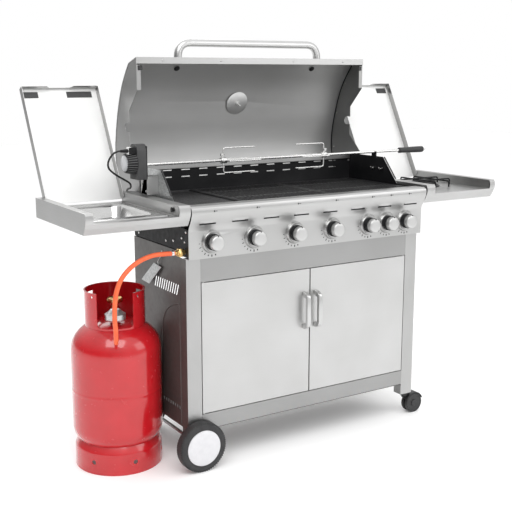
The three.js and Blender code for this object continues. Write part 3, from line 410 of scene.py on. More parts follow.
def line_tube(name, points, radius, material, body="cart", sides=12, cyclic=False):
    """A round tube along layout points, as a curve of one spline."""
    curve = bpy.data.curves.new(name, "CURVE")
    curve.dimensions = "3D"
    curve.bevel_depth = radius * MM
    curve.bevel_resolution = max(2, sides // 4)
    curve.use_fill_caps = True
    curve.twist_mode = "MINIMUM"
    line = curve.splines.new("POLY")
    line.points.add(len(points) - 1)
    for target, p in zip(line.points, points):
        target.co = (*spot(*p), 1)
    line.use_cyclic_u = cyclic
    line.use_smooth = True
    piece = bpy.data.objects.new(name, curve)
    bpy.context.scene.collection.objects.link(piece)
    curve.materials.append(material)
    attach(piece, body)
    return piece


def smooth_line(points, steps=6):
    """Points along a centripetal Catmull-Rom curve through the given points."""
    p = [Vector(q) for q in points]
    p = [2 * p[0] - p[1], *p, 2 * p[-1] - p[-2]]
    line = []
    for a, b, c, d in zip(p, p[1:], p[2:], p[3:]):
        t1 = (b - a).length ** 0.5
        t2 = t1 + (c - b).length ** 0.5
        t3 = t2 + (d - c).length ** 0.5
        for i in range(steps):
            t = t1 + (t2 - t1) * i / steps
            ab = a.lerp(b, t / t1)
            bc = b.lerp(c, (t - t1) / (t2 - t1))
            cd = c.lerp(d, (t - t2) / (t3 - t2))
            abc = ab.lerp(bc, t / t2)
            bcd = bc.lerp(cd, (t - t1) / (t3 - t1))
            line.append(abc.lerp(bcd, (t - t1) / (t2 - t1)))
    return [*line, p[-2]]


def bent_line(corners, radius, steps=5):
    """Straight runs between corners, each inner corner rounded by an arc of the radius."""
    corners = [Vector(c) for c in corners]
    line = [corners[0]]
    for before, corner, after in zip(corners, corners[1:], corners[2:]):
        start = corner + (before - corner).normalized() * radius
        end = corner + (after - corner).normalized() * radius
        for i in range(steps + 1):
            t = i / steps
            line.append(start.lerp(corner, t).lerp(corner.lerp(end, t), t))
    return [*line, corners[-1]]


def block(name, x, y, z, material, body="cart", edge=1.0):
    """A softened rectangular piece between layout limits."""
    corners = [(x[i], y[j], z[k]) for i in (0, 1) for j in (0, 1) for k in (0, 1)]
    piece = settle(name, mesh_from(name, corners, BOX_FACES), material, body)
    return soften(piece, edge, 3)


def screw(name, centre, axis, material=BRIGHT, body="cart", size=4.5, out=-1):
    """A domed screw head whose crown points along out times the axis."""
    dome = [(0, -1.5), (size, -1.5), (size, 0.4), (size * 0.8, 1.5), (size * 0.4, 2.1),
            (size * 0.3, 1.7), (0, 1.6)]
    return turned(name, [(r, out * h) for r, h in dome], centre, axis, 16, material, body)


# ---- the motor's lead and the gas hose ----------------------------------------------------------
CORD_RADIUS = 3.25
CORD_ROUTE = [(-602.3, 222, 1048), (-611, 222, 1047.5), (-624, 225, 1041), (-633.5, 233, 1026),
              (-635.5, 245, 1008), (-627, 259, 990), (-605, 273.5, 972.5), (-579, 286.5, 957),
              (-553, 298.5, 943.5), (-531, 313, 931), (-517, 334, 918), (-509, 358, 908),
              (-506, 380, 903), (-504, 395, 897), (-502, 404, 872), (-492, 408, 838),
              (-468, 409, 798), (-444, 408, 757), (-418, 406, 727), (-380, 404, 705),
              (-330, 403, 693), (-285, 403, 692), (-258, 404, 689), (-238, 405, 672),
              (-228, 406, 640), (-225, 407, 560), (-224, 408, 400), (-224, 408, 250),
              (-225, 410, 120), (-226, 413, 65), (-220.4, 415.5, 44), (-205, 417.5, 28.6),
              (-188, 418.8, 23.4), (-173.5, 419, 23)]
COIL_CENTRE = (-150, 455)
COIL_RADIUS = 36
COIL_TURNS = 3
PLUG_START = (-127.3, 419, 7.4)


def coil_line():
    """Turns going down from the incoming lead to the floor, then up into the plug's relief."""
    low, high, steps = 3.5, 23.0, 24  # heights of the cord's middle, and points per turn
    line = []
    for i in range(COIL_TURNS * steps + 1):
        a = -pi / 2 + 2 * pi * i / steps
        z = high + (low - high) * i / (COIL_TURNS * steps)
        line.append(Vector((COIL_CENTRE[0] + COIL_RADIUS * cos(a),
                            COIL_CENTRE[1] + COIL_RADIUS * sin(a), z)))
    return [*line, Vector((-138, 419, 4.8)), Vector(PLUG_START)]


def make_motor_lead():
    line = smooth_line(CORD_ROUTE) + coil_line()
    lead = line_tube("motor_lead", line, CORD_RADIUS, CORD)
    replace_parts(lead, "motor_cord", "motor_cord_coil")
    plug = refined("mains_plug", BLACK, 1.2)


BOTTLE = (-640, 215)
OUTLET = Vector((-0.39, -0.92)).normalized()  # the way the bottle's outlet points
BARB_ANGLE = radians(55)
BARB_START = (106, 522)
BARB_LENGTH = 26
HOSE_BEND = 62
HOSE_SWEEP = radians(137)
HOSE_RADIUS = 7.5
HOSE_RISE = [
    (-737, -8, 562), (-735, -8, 602), (-728, -6, 640), (-711, -3, 676), (-681, 1, 706),
    (-640, 6, 728), (-592, 10, 739), (-552, 12, 739), (-530, 12, 738), (-518.6, 12, 738),
]


def at_bottle(u, z):
    """The point at distance u from the bottle's axis towards its outlet, at height z."""
    return (BOTTLE[0] + OUTLET.x * u, BOTTLE[1] + OUTLET.y * u, z)


def hose_route():
    """From the regulator's barb down, round the loop below it and up to the gas inlet."""
    slope = (cos(BARB_ANGLE), -sin(BARB_ANGLE))

    def down(distance):
        return BARB_START[0] + slope[0] * distance, BARB_START[1] + slope[1] * distance

    bend = down(BARB_LENGTH + 10)
    middle = (bend[0] + HOSE_BEND * sin(BARB_ANGLE), bend[1] + HOSE_BEND * cos(BARB_ANGLE))
    headings = [-BARB_ANGLE + i / 7 * HOSE_SWEEP for i in range(8)]
    turn = [(middle[0] + HOSE_BEND * sin(a), middle[1] - HOSE_BEND * cos(a)) for a in headings]
    return [at_bottle(*p) for p in [down(BARB_LENGTH + 0.3), *turn]] + HOSE_RISE


def make_hose():
    line = smooth_line(hose_route())
    hose = line_tube("hose_line", line, HOSE_RADIUS, HOSE, sides=20)
    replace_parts(hose, "gas_hose")


# ---- cart ---------------------------------------------------------------------------------------
HALF_WIDTH = 485
DEPTH = 388


def post_face(centre, normal):
    """1 on a post's outer side face, which takes the dark cabinet material, 0 elsewhere."""
    return int(abs(centre.x) > HALF_WIDTH - 2)


def make_cart():
    for name, way in SIDES:
        refined("front_post_" + name, [STEEL_UPRIGHT, CABINET], 0.5, pick=post_face)
        refined("side_panel_" + name, CABINET, 0.4)
        make_door(name, way)
        refined("door_handle_" + name, BAR_STEEL, 3.2)
    refined("header_rail", STEEL_RAIL, 0.5)
    refined("bottom_rail", STEEL_RAIL, 0.5)
    refined("bottom_shelf", CABINET, 0.5)
    refined("back_panel", CABINET, 0.4)
    for name, way in SIDES:
        make_side_arch(name, way)
    make_hanging_plate()


DOOR_EDGE = 1.2  # how far the door's rim is turned in from its outer limits
DOOR_LOW, DOOR_HIGH = 186.5, 633  # the leaf; its hinge pins go on beyond


def make_door(name, way):
    """A door leaf with its rim turned in a little, and black strips of painted shade in the gaps.
    """
    leaf = refined("door_" + name, STEEL_DOOR, 1.0)
    low, high = (Vector(corner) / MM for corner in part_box("door_" + name))
    for vertex in leaf.data.vertices:
        x, z = vertex.co.x / MM, vertex.co.z / MM
        if min(x - low.x, high.x - x) < 0.1:
            vertex.co.x += DOOR_EDGE * MM * (1 if x - low.x < 0.1 else -1)
        for edge, inward in ((DOOR_LOW, 1), (DOOR_HIGH, -1)):
            if abs(z - edge) < 0.1:
                vertex.co.z += DOOR_EDGE * MM * inward
    # black strips behind the gaps round the leaf: painted shade of those gaps
    outer = sorted((way * 429.9, way * 431.6))
    block("door_seal_" + name, outer, (8.5, 16), (187, 632.5), BLACK, edge=0.1)
    width = sorted((way * 12, way * 410))
    block("door_seal_top_" + name, width, (6, 16), (632.6, 633.7), BLACK, edge=0.1)
    block("door_seal_low_" + name, width, (6, 16), (185.8, 186.9), BLACK, edge=0.1)
    if name == "right":
        block("door_seal_middle", (-0.9, 2.3), (4, 16), (188, 631.5), BLACK, "door_right", edge=0.1)


def make_side_arch(name, way):
    """The pressed arch and the upright bead of a side panel."""
    x = way * (HALF_WIDTH - 0.2)
    arch = [(205, 150), (199, 260), (191, 340), (184, 392), (173, 470), (150, 512), (122, 535),
            (80, 552), (50, 560)]
    line = smooth_line([(x, y, z) for y, z in arch])
    line_tube("side_arch_" + name, line, 2.0, CABINET)
    bead = [(x, 48, z) for z in (150, 630)]
    line_tube("side_bead_" + name, bead, 1.3, CABINET)


def make_hanging_plate():
    """The bent zinc plate hanging on the left side, turned a little about its hook."""
    x = -HALF_WIDTH
    corners = [(x - 4, 166, 662), (x - 4, 224, 667), (x - 14, 303, 596), (x - 14, 242, 592)]
    back = [(p[0] - 1.6, p[1], p[2]) for p in corners]
    faces = [(0, 1, 2, 3), (7, 6, 5, 4), (0, 4, 5, 1), (1, 5, 6, 2), (2, 6, 7, 3), (3, 7, 4, 0)]
    plate = settle("hanging_plate", mesh_from("hanging_plate", corners + back, faces), ZINC)
    soften(plate, 0.5)
    hook = bent_line([(x - 4.5, 184, 655), (x - 7, 190, 676), (x - 6, 171, 696),
                      (x - 1.5, 167, 718)], 6)
    line_tube("plate_hook", hook, 1.6, ZINC)


# ---- control panel ------------------------------------------------------------------------------
KNOB_X = (-401, -242, -80, 77, 236, 321, 406)
KNOB_Z = 769
PANEL_FACE = -21
LOUVRE_PITCH = 120.5
KNOB_DEPTH = 44.6


def make_control_panel():
    refined("control_panel", STEEL, 0.5, angle=28)
    bezel = [(28.5, -1), (28.5, -5), (29.6, -7.4), (31, -9.4), (32.6, -9.8), (34.2, -8.6),
             (36, -4.6), (37.6, -2), (38.4, 0)]
    seat = [(0, -1), (28.6, -1), (28.6, -3.5), (0, -3.5)]
    for i, x in enumerate(KNOB_X, 1):
        place = (x, PANEL_FACE - 0.1, KNOB_Z)
        turned(f"bezel_{i}", bezel, place, "y", 64, BEZEL)
        turned(f"bezel_seat_{i}", seat, place, "y", 48, BLACK)
        make_knob(i, x)
        make_scale(i, x)
    make_gas_line()
    for i in range(8):
        make_louvre(i, (i - 3.5) * LOUVRE_PITCH)
    make_roll_marks()


def make_knob(i, x):
    """A knob with a dark skirt, a satin drum with a slightly domed front and a pointer line."""
    skirt = [(0, -8), (26, -8), (26.6, -9.5), (26.4, -22), (25.6, -23.4), (0, -23.4)]
    drum = [(0, -23), (24, -23), (24.6, -24), (24.6, -36), (24, -39.6), (22.6, -42), (20.4, -43.2),
            (12, -44.2), (0, -KNOB_DEPTH)]
    place = (x, PANEL_FACE - 0.5, KNOB_Z)
    body = f"knob_{i}"
    turned(body + "_drum", drum, place, "y", 64, SATIN, body, replaces=[body])
    turned(body + "_skirt", skirt, place, "y", 64, MARK_AND_SHADE, body)
    turned(body + "_stem", [(0, 8), (4, 8), (4, -9), (0, -9)], place, "y", 24, BLACK, body)
    block(body + "_pointer", (x - 0.8, x + 0.8), (PANEL_FACE - KNOB_DEPTH, PANEL_FACE - 30),
          (KNOB_Z + 20.5, KNOB_Z + 24.9), MARK_AND_SHADE, body, edge=0.3)


def make_scale(i, x):
    """Printed dashes round the lower left of a knob, growing along the scale."""
    points, faces = [], []
    for k in range(7):
        a = radians(184 + 17 * k)
        width, height = 1.8 + 0.35 * k, 5 + 2.2 * (k % 2)
        out = Vector((cos(a), 0, sin(a)))
        across = Vector((-sin(a), 0, cos(a)))
        middle = Vector((x, PANEL_FACE - 0.12, KNOB_Z)) + out * 45.5
        base = len(points)
        for u, v in ((-1, -1), (1, -1), (1, 1), (-1, 1)):
            points.append(middle + out * (u * height / 2) + across * (v * width / 2))
        faces.append(tuple(range(base, base + 4)))
    settle(f"scale_{i}", mesh_from(f"scale_{i}", points, faces), MARK_AND_SHADE)


def make_louvre(i, x):
    """A shallow raised lip over a vent slot, with a black block in its mouth as painted shade."""
    points, faces = [], []
    count = 14  # steps along the lip
    for k in range(count + 1):
        u = k / count
        rise = 1.6 * sin(pi * u) ** 0.5
        px = x + 30 * (2 * u - 1)
        points += [(px, -31.6, 831.2), (px, -32.8 - rise, 832.4), (px, -34 - rise * 0.6, 835.5),
                   (px, -37.5, 843)]
    for k in range(count):
        for j in range(3):
            a = k * 4 + j
            faces.append((a, a + 4, a + 5, a + 1))
    settle(f"louvre_{i}", mesh_from(f"louvre_{i}", points, faces, 50), STEEL)
    # the black block stands in for the shade inside the slot: painted shade
    block(f"louvre_slot_shade_{i}", (x - 29.5, x + 29.5), (-32.3, -26), (827.4, 831.3), MARK_AND_SHADE, edge=0.3)


def make_roll_marks():
    """A small generic square and dash on the panel's rounded top above each knob."""
    y = (-46.9, -45.6)
    for i, x in enumerate(KNOB_X, 1):
        block(f"mark_square_{i}", (x - 6, x - 1.5), y, (868, 873), MARK_AND_SHADE, edge=0.2)
        block(f"mark_dash_{i}", (x + 1, x + 6.5), y, (869.6, 871.4), MARK_AND_SHADE, edge=0.2)


def make_gas_line():
    """The manifold behind the panel, and the brass inlet with its nut and the hose's clip."""
    refined("gas_manifold", ZINC, 0.4)
    refined("gas_inlet", BRASS, 0.5)
    nut = [(8.2, 0), (14, 0), (15, 2), (15, 12), (14, 14), (8.2, 14)]
    turned("inlet_nut", nut, (-506, 12, 738), "x", 6, BRASS)
    clip = [(7.7, 0), (9.4, 0.6), (9.4, 8.4), (7.7, 9)]
    turned("hose_clip", clip, (-531, 12, 738), "x", 32, BRIGHT)


# ---- firebox and cooking parts ------------------------------------------------------------------
def firebox_face(centre, normal):
    """0 black enamel, 1 stainless rail on the back wall's top, 2 zinc outside the end walls."""
    if centre.z > 960 and centre.y > 389 and abs(centre.x) < 467:
        return 1
    if centre.z > 884 and abs(centre.x) > 469.8:
        return 2
    return 0


# y and z of the screws on each outer side
CARRIER_SCREWS = ((351, 752), (337, 764), (141, 756), (88, 764), (29, 781), (0, 803), (9, 770))


def make_firebox():
    refined("firebox", [ENAMEL, STEEL, ZINC], 0.3, pick=firebox_face)
    block("back_rail", (-466, 466), (386, 391.8), (962, 985.5), STEEL, edge=1.2)
    for name, way in SIDES:
        for k, y in enumerate((192, 240)):
            make_wing_nut(f"wing_nut_{name}_{k}", way * 467.5, y)
        for k, (y, z) in enumerate(CARRIER_SCREWS):
            screw(f"carrier_screw_{name}_{k}", (way * 483.6, y, z), "x", out=way)
    make_wall_ribs()
    refined("griddle_plate", IRON, 1.0)
    refined("cooking_grate_left", IRON, 0.9)
    refined("cooking_grate_right", IRON, 0.9)
    refined("burners", STEEL_CROSSED_SHADED, 0.6, angle=40)
    refined("grease_tray", ZINC, 0.5)


RIB_COUNT = 17


def make_wall_ribs():
    """The dark strip along each end wall's sloping front edge, with its slanted ribs."""
    for name, way in SIDES:
        edge = [(way * 474, 114, 904.5), (way * 474, 183, 981)]
        line_tube("wall_edge_" + name, edge, 2.6, BLACK)
        for k in range(RIB_COUNT):
            t = (k + 0.5) / RIB_COUNT
            y, z = 101 + 82 * t, 890 + 91 * t
            rib = [(way * 472, y + 3, z - 2), (way * 477, y + 15, z - 6)]
            line_tube(f"wall_rib_{name}_{k}", rib, 1.5, ZINC, sides=8)


def make_wing_nut(name, x, y):
    """A wing nut inside an end wall."""
    inward = -1 if x > 0 else 1
    nut = [(0, 0), (5, 0), (4.2, inward * 8), (0, inward * 8.5)]
    turned(name, nut, (x, y, 936), "x", 16, BRIGHT)
    wing = [(x + inward * 4, y - 11, 940), (x + inward * 5, y, 935), (x + inward * 4, y + 11, 940)]
    line_tube(name + "_wing", smooth_line(wing), 1.8, BRIGHT)


# ---- hood ---------------------------------------------------------------------------------------
HOOD_PIVOT = (395, 955)
OPEN_Y = HOOD_PIVOT[0] - HOOD_PIVOT[1]
OPEN_Z = HOOD_PIVOT[0] + HOOD_PIVOT[1]
HOOD_MIDDLE = (250, 940)  # y and z inside the shut hood
GRIP_X, GRIP_Z = 299, 952  # half length and height of the shut hood's handle


def opened(x, y, z):
    """A point of the shut hood where it stands with the hood open."""
    return (x, z + OPEN_Y, OPEN_Z - y)


def hood_face(centre, normal):
    """0 outside, 1 inside, where a face above the lip looks towards the hood's middle."""
    shut = Vector((OPEN_Z - centre.z, centre.y - OPEN_Y))
    facing = Vector((-normal.z, normal.y))
    return 1 if facing.dot(Vector(HOOD_MIDDLE) - shut) > 0 and shut.y > 915 else 0


def hood_end_face(centre, normal):
    """0 outside, 1 inside, darker steel as painted shade."""
    return int(normal.x * (1 if centre.x > 0 else -1) < -0.5)


def make_hood():
    refined("hood_shell", [STEEL, STEEL_INSIDE], 0.4, angle=40, pick=hood_face)
    for name, way in SIDES:
        refined("hood_end_" + name, [STEEL_CROSSED_SHADED, STEEL_END_SHADED], 0.4, pick=hood_end_face)
        make_hood_joint_shade(name, way)
    corners = [(GRIP_X, 9), (GRIP_X, -51), (-GRIP_X, -51), (-GRIP_X, 9)]
    handle = bent_line([opened(x, y, GRIP_Z) for x, y in corners], 52, 12)
    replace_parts(line_tube("hood_bar", handle, 14, BAR_STEEL, "hood", sides=28), "hood_handle")
    make_gauge()
    make_hood_bolts()
    foot = [(13.5, -1), (17.5, -1), (18, 1), (17, 3), (14.2, 3.6)]
    for name, way in SIDES:
        place = opened(way * GRIP_X, 8, GRIP_Z)
        turned("bar_foot_" + name, foot, place, "z", 40, BRIGHT, "hood")
        x = sorted((way * 462, way * 476))
        block("hood_bumper_" + name, x, (336, 341), (1306, 1322), BLACK, "hood", edge=1.5)


# y and z along the shut hood's crown, and of the rivets below it
CROWN = ((20, 962), (50, 989), (106, 1029), (193, 1066), (310, 1093), (400, 1085), (456, 1056),
         (478, 1008))
RIVETS = ((92, 1004), (212, 1056), (350, 1074))


def make_hood_joint_shade(name, way):
    """Painted shade as a black line in a hood end's joint with the curved shell, with rivets beside
    it.
    """
    middle = Vector((0, 250, 960))
    crown = smooth_line([(0, *p) for p in CROWN], 4)
    inset = [p + (middle - p).normalized() * 3.4 for p in crown]
    # the black tube is painted shade in the joint
    line_tube("hood_joint_shade_" + name, [opened(way * 479.6, p.y, p.z) for p in inset], 1.7, MARK_AND_SHADE,
              "hood", sides=8)
    for k, (y, z) in enumerate(RIVETS):
        head = [(0, -2.6 * way), (2.2, -2.2 * way), (3, -0.5 * way), (3, 0.6 * way), (0, 0.6 * way)]
        turned(f"hood_rivet_{name}_{k}", head, opened(way * 480.9, y, z), "x", 14, BRIGHT, "hood")


def make_hood_bolts():
    """Black bolt heads of the handle inside the hood, and small screws in its lip."""
    turn = Vector((0, 0, 1)).rotation_difference(Vector((0, -0.74, -0.67))).to_matrix()
    head = [(0, 4), (7, 3.6), (10.5, 1.8), (11, 0.4), (0, 0.4)]
    for name, way in SIDES:
        place = opened(way * 292, 37.4, 974)
        turned("handle_bolt_" + name, head, place, "z", 28, MARK_AND_SHADE, "hood", turn=turn)
    for k, x in enumerate((-385, -155, 155, 385)):
        screw(f"lip_screw_{k}", (x, 337.6, 1339), "y", BAR_STEEL, "hood", size=3.2)


GAUGE = (0, 163, 1055.5)
GAUGE_TILT = radians(22)


def make_gauge():
    """The hood gauge: dial and rim outside, bright dish, nut and probe inside."""
    centre = opened(*GAUGE)
    turn = Matrix.Rotation(GAUGE_TILT - pi / 2, 3, "X")
    rim = [(9, -3), (9, 2), (37, 2.2), (40, 3.6), (40, 10), (38.5, 12.4), (36, 13), (34.5, 12),
           (34.5, 10.6), (0, 10.6)]
    dish = [(3.2, -33.5), (3.6, -15.5), (8.6, -15.4), (9.4, -14.6), (9.6, -12), (20, -11.6),
            (32, -10), (42, -8), (45, -6.9), (44.8, -6.5), (9, -6)]
    probe = [(0, -34), (3.2, -33.5)]
    turned("gauge_rim", rim, centre, "z", 64, BRIGHT, "hood", replaces=["thermometer"], turn=turn)
    turned("gauge_dish", probe + dish, centre, "z", 64, GAUGE_STEEL, "hood", turn=turn)
    turned("gauge_face", [(0, 10.9), (34, 10.9)], centre, "z", 48, DIAL, "hood", turn=turn)


# ---- side tables --------------------------------------------------------------------------------
RING_BURNER = (662, 160)
DECK = 861.5


def table_face(centre, normal):
    """1 on the upright side faces, darker steel as painted shade, 0 elsewhere."""
    return int(abs(normal.x) > 0.9)


def lid_face(centre, normal):
    """0 outside, 1 inside of the open lid (near white: painted reflection), 2 its side flanges
    (darker: painted shade).
    """
    if abs(normal.x) > 0.8:
        return 2
    return 1 if normal.y < -0.3 and normal.z > 0.1 else 0


def make_lid_shadow_pads(side, way, lid):
    """Two dark plates of painted shadow in the open lid's upper corners, flat on its inner face."""
    inner = max((f for f in lid.data.polygons if f.material_index == 1), key=lambda f: f.area)
    on_plane = inner.center / MM + Vector((0, CENTRE_Y, 0)) + inner.normal * 0.3
    for k, x in enumerate(((552, 644), (747, 798))):
        corners = []
        for z in (1212, 1232):
            y = on_plane.y - (z - on_plane.z) * inner.normal.z / inner.normal.y
            corners += [(way * x[0], y, z), (way * x[1], y, z)]
        thick = [tuple(Vector(c) + inner.normal * 1.2) for c in corners]
        name = f"lid_shadow_pad_{side}_{k}"
        mesh = mesh_from(name, corners + thick, BOX_FACES)
        settle(name, mesh, MOTOR_GREY, "side_lid_" + side)


def make_side_tables():
    for name, way in SIDES:
        refined("side_table_" + name, [STEEL, STEEL_CROSSED_SHADED], 0.6, pick=table_face)
        lid = refined("side_lid_" + name, [STEEL, LID_INSIDE, STEEL_CROSSED_SHADED], 0.5, pick=lid_face)
        make_lid_shadow_pads(name, way, lid)
    make_sink()
    burner = [(0, -35), (20, -35), (20, 0.4), (58, 0.4), (60, 1.5), (59, 3.5), (46, 9), (44.5, 11),
              (44, 17), (42, 20.5), (38, 22.3), (0, 22.6)]
    turned("ring_burner", burner, (*RING_BURNER, DECK), "z", 64, IRON, replaces=["side_burner"])
    make_pot_support()
    for name, way in SIDES:
        cap = [(0, way * 1), (8, way * 1), (8, -way * 0.6), (6, -way * 2), (0, -way * 2.4)]
        turned("table_plug_" + name, cap, (way * 532, -1, 879), "x", 32, MARK_AND_SHADE)


def rounded_loop(x, y, z, radius, steps=6):
    """A rectangle's outline at height z with rounded corners."""
    loop = []
    for cx, cy, start in ((x[1], y[1], 0), (x[0], y[1], 90), (x[0], y[0], 180), (x[1], y[0], 270)):
        sx, sy = (1 if cx == x[1] else -1), (1 if cy == y[1] else -1)
        for i in range(steps + 1):
            a = radians(start + 90 * i / steps)
            x_here, y_here = cx - sx * radius + radius * cos(a), cy - sy * radius + radius * sin(a)
            loop.append((x_here, y_here, z))
    return loop


def make_sink():
    """A pressed basin: flat rim, rolled edge, rounded walls, dished bottom and drain."""
    deck = DECK + 0.3
    loops = [
        rounded_loop((-796, -542), (-12, 348), deck + 0.2, 10),
        rounded_loop((-794, -544), (-10, 346), deck + 2.4, 10),
        rounded_loop((-772, -566), (28, 318), deck + 2.6, 34),
        rounded_loop((-766, -572), (34, 312), deck + 1.2, 34),
        rounded_loop((-762.5, -575.5), (42.5, 302.5), deck - 6, 32),
        rounded_loop((-760, -578), (45, 300), deck - 36, 30),
        rounded_loop((-753, -585), (52, 293), deck - 45, 26),
        rounded_loop((-740, -598), (66, 280), deck - 48.6, 20),
        rounded_loop((-690, -650), (150, 192), deck - 50, 15),
    ]
    count = len(loops[0])
    points = [p for loop in loops for p in loop]
    faces = []
    for j in range(len(loops) - 1):
        low, high = j * count, (j + 1) * count
        for i in range(count):
            after = (i + 1) % count
            faces.append((low + i, low + after, high + after, high + i))
    faces.append(tuple(range((len(loops) - 1) * count, len(loops) * count)))
    mesh = mesh_from("sink_pressing", points, faces, 60)
    settle("sink_pressing", mesh, STEEL_SINK, replaces=["sink_basin"])
    drain = [(6, -0.4), (15, 0.4), (17, 1.4), (18, 0.4)]
    turned("sink_drain", drain, (-669, 172, deck - 49.6), "z", 32, BRIGHT)


def make_pot_support():
    """Four wires, two each way, carried on their bent-down ends."""
    (cx, cy), top, low, reach, half, wire = RING_BURNER, 887.5, 865, 101, 34, 3
    corners = [(-reach, -half, low), (-reach, -half, top), (reach, -half, top), (reach, -half, low)]
    for k in range(4):
        turn = Matrix.Rotation(k * pi / 2, 3, "Z")
        line = bent_line([Vector((cx, cy, 0)) + turn @ Vector(c) for c in corners], 10)
        piece = line_tube(f"pot_wire_{k}", line, wire, ENAMEL, sides=12)
        if k == 0:
            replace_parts(piece, "pot_support")


# ---- rotisserie ---------------------------------------------------------------------------------
SPIT = (239, 998)  # y and z of the spit's axis
MOTOR_CAP_Z = 1006
CAP_START = -549  # where the motor's tapered cap begins
CAP_RIBS = 26


def cap_rib(angle):
    """One cooling rib of the motor's tapered cap, from its root to the flat front."""
    out = (sin(angle), cos(angle))
    slope = ((CAP_START, 36.4), (-576, 30.8), (-578.6, 27.6))
    return [(x, SPIT[0] + r * out[0], MOTOR_CAP_Z + r * out[1]) for x, r in slope]


def motor_face(centre, normal):
    """0 on the grey body, 1 on the black cap."""
    return int(centre.x < CAP_START)


def make_rotisserie():
    refined("rotisserie_motor", [MOTOR_GREY, MARK_AND_SHADE], 1.6, angle=30, pick=motor_face)
    for k in range(CAP_RIBS):
        line_tube(f"cap_rib_{k}", cap_rib(2 * pi * k / CAP_RIBS), 1.7, RIB_GREY, sides=8)
    disc = [(0, -582.6), (25.5, -582.6), (26.8, -581.8), (27, -580), (0, -580)]
    turned("cap_disc", disc, (0, SPIT[0], MOTOR_CAP_Z), "x", 48, DISC)
    block("motor_edge", (-515, -511.6), (208.6, 269.4), (958, 1062), MARK_AND_SHADE, edge=1.0)
    block("motor_tab", (-576, -565), (216, 232), (1036.2, 1060), LID_INSIDE, edge=1.2)
    screw("motor_tab_screw", (-570.5, 216, 1049), "y", BAR_STEEL, size=3.6)
    for k, y in enumerate((222, 256)):
        screw(f"bracket_screw_{k}", (-512, y, 912 + 20 * k), "x")
    refined("motor_bracket", SATIN, 0.4)
    rod = [(0, -521.8), (4.2, -521.8), (5, -520), (5, 596), (0, 596)]
    turned("spit_bar", rod, (0, *SPIT), "x", 24, BRIGHT, "spit", replaces=["spit_rod"])
    grip = [(0, 593), (8, 593), (10.6, 595), (11, 599), (11, 604), (10.4, 606), (11.2, 640),
            (12, 690), (12, 712), (10.8, 716), (8, 718), (0, 718)]
    turned("spit_grip", grip, (0, *SPIT), "x", 40, BLACK, "spit")
    angles = [2 * pi * i / 28 for i in range(28)]
    loop = [(724 + 7 * cos(a), SPIT[0] + 7 * sin(a), SPIT[1]) for a in angles]
    line_tube("spit_loop", loop, 1.8, BRIGHT, "spit", sides=12, cyclic=True)
    for name, x, way in (("left", -206, 1), ("right", 226, -1)):
        make_fork(name, x, way)


def make_fork(name, x, way):
    """A meat fork of four bent wires, a hub and its clamping screw."""
    body = "spit_fork_" + name
    hub = [(5.4, x - 11), (10.4, x - 11), (11, x - 10), (11, x + 10), (10.4, x + 11), (5.4, x + 11),
           (5.4, x - 11)]
    turned(f"fork_hub_{name}", hub, (0, *SPIT), "x", 40, BRIGHT, body, replaces=[body])
    reach = 43.5
    for k in range(4):
        a = k * pi / 2
        y, z = reach * sin(a), reach * cos(a)
        inner = 9 / reach
        corners = [(x, SPIT[0] + y * inner, SPIT[1] + z * inner), (x, SPIT[0] + y, SPIT[1] + z),
                   (x + way * 127, SPIT[0] + y, SPIT[1] + z)]
        line_tube(f"fork_prong_{name}_{k}", bent_line(corners, 9), 2.4, BRIGHT, body, sides=12)
    thumb = [(0, 9), (3.6, 9), (3.6, 15), (7.5, 15.5), (7.5, 22), (6, 24), (0, 24)]
    turned(f"fork_screw_{name}", thumb, (x - way * 5, *SPIT), "z", 10, BRIGHT, body)


# ---- gas bottle ---------------------------------------------------------------------------------
def carved(mesh, tools):
    """The mesh less the tool meshes."""
    base = bpy.data.objects.new("carve_base", mesh)
    bpy.context.scene.collection.objects.link(base)
    cutters = []
    for tool in tools:
        cutter = bpy.data.objects.new("carve_tool", tool)
        bpy.context.scene.collection.objects.link(cutter)
        step = base.modifiers.new("cut", "BOOLEAN")
        step.operation = "DIFFERENCE"
        step.solver = "EXACT"
        step.object = cutter
        cutters.append(cutter)
    bpy.context.view_layer.update()
    cut = base.evaluated_get(bpy.context.evaluated_depsgraph_get())
    result = bpy.data.meshes.new_from_object(cut)
    for each in (base, *cutters):
        bpy.data.objects.remove(each)
    return result


def make_gas_bottle():
    r = 150
    body = [(0, 58), (60, 61), (100, 71), (126, 86), (141, 103), (148, 120), (r, 134), (r, 140),
            (r, 255), (r, 260), (r + 0.6, 262), (r + 0.8, 264.5), (r + 0.6, 267), (r, 269),
            (r, 274), (r, 392), (r, 398), (148, 416), (143, 432), (134, 448), (120, 464), (98, 481),
            (72, 492), (44, 499), (20, 503), (9, 504), (9, 500)]
    turned("bottle_body", body, (*BOTTLE, 0), "z", 96, RED, replaces=["gas_bottle"])
    ring = [(143, 0.2), (145, 0), (146, 1), (146, 66), (145.4, 72), (144, 76), (130, 97), (128, 94),
            (140.5, 75), (143, 66), (143, 0.2)]
    foot = lathe("bottle_foot", ring, (*BOTTLE, 0), "z", 96)
    holes = [peg(BOTTLE, radians(a), 42, 7.5) for a in (-148, -92, -35, 25, 90, 150)]
    foot = carved(foot, holes)
    smooth(foot, 30)
    soften(settle("bottle_foot", foot, RED), 0.6)
    make_collar()


def peg(centre, heading, z, radius, near=120, far=170, steps=16):
    """A round cutter pointing away from the bottle's axis."""
    out = Vector((cos(heading), sin(heading), 0))
    across = Vector((-sin(heading), cos(heading), 0))
    points = []
    for d in (near, far):
        for i in range(steps):
            a = 2 * pi * i / steps
            side = Vector((*centre, z)) + out * d + across * (radius * cos(a))
            points.append(side + Vector((0, 0, radius * sin(a))))
    faces = [tuple(range(steps)), tuple(range(steps, 2 * steps))]
    faces += [(i, (i + 1) % steps, steps + (i + 1) % steps, steps + i) for i in range(steps)]
    return mesh_from("peg", points, faces)


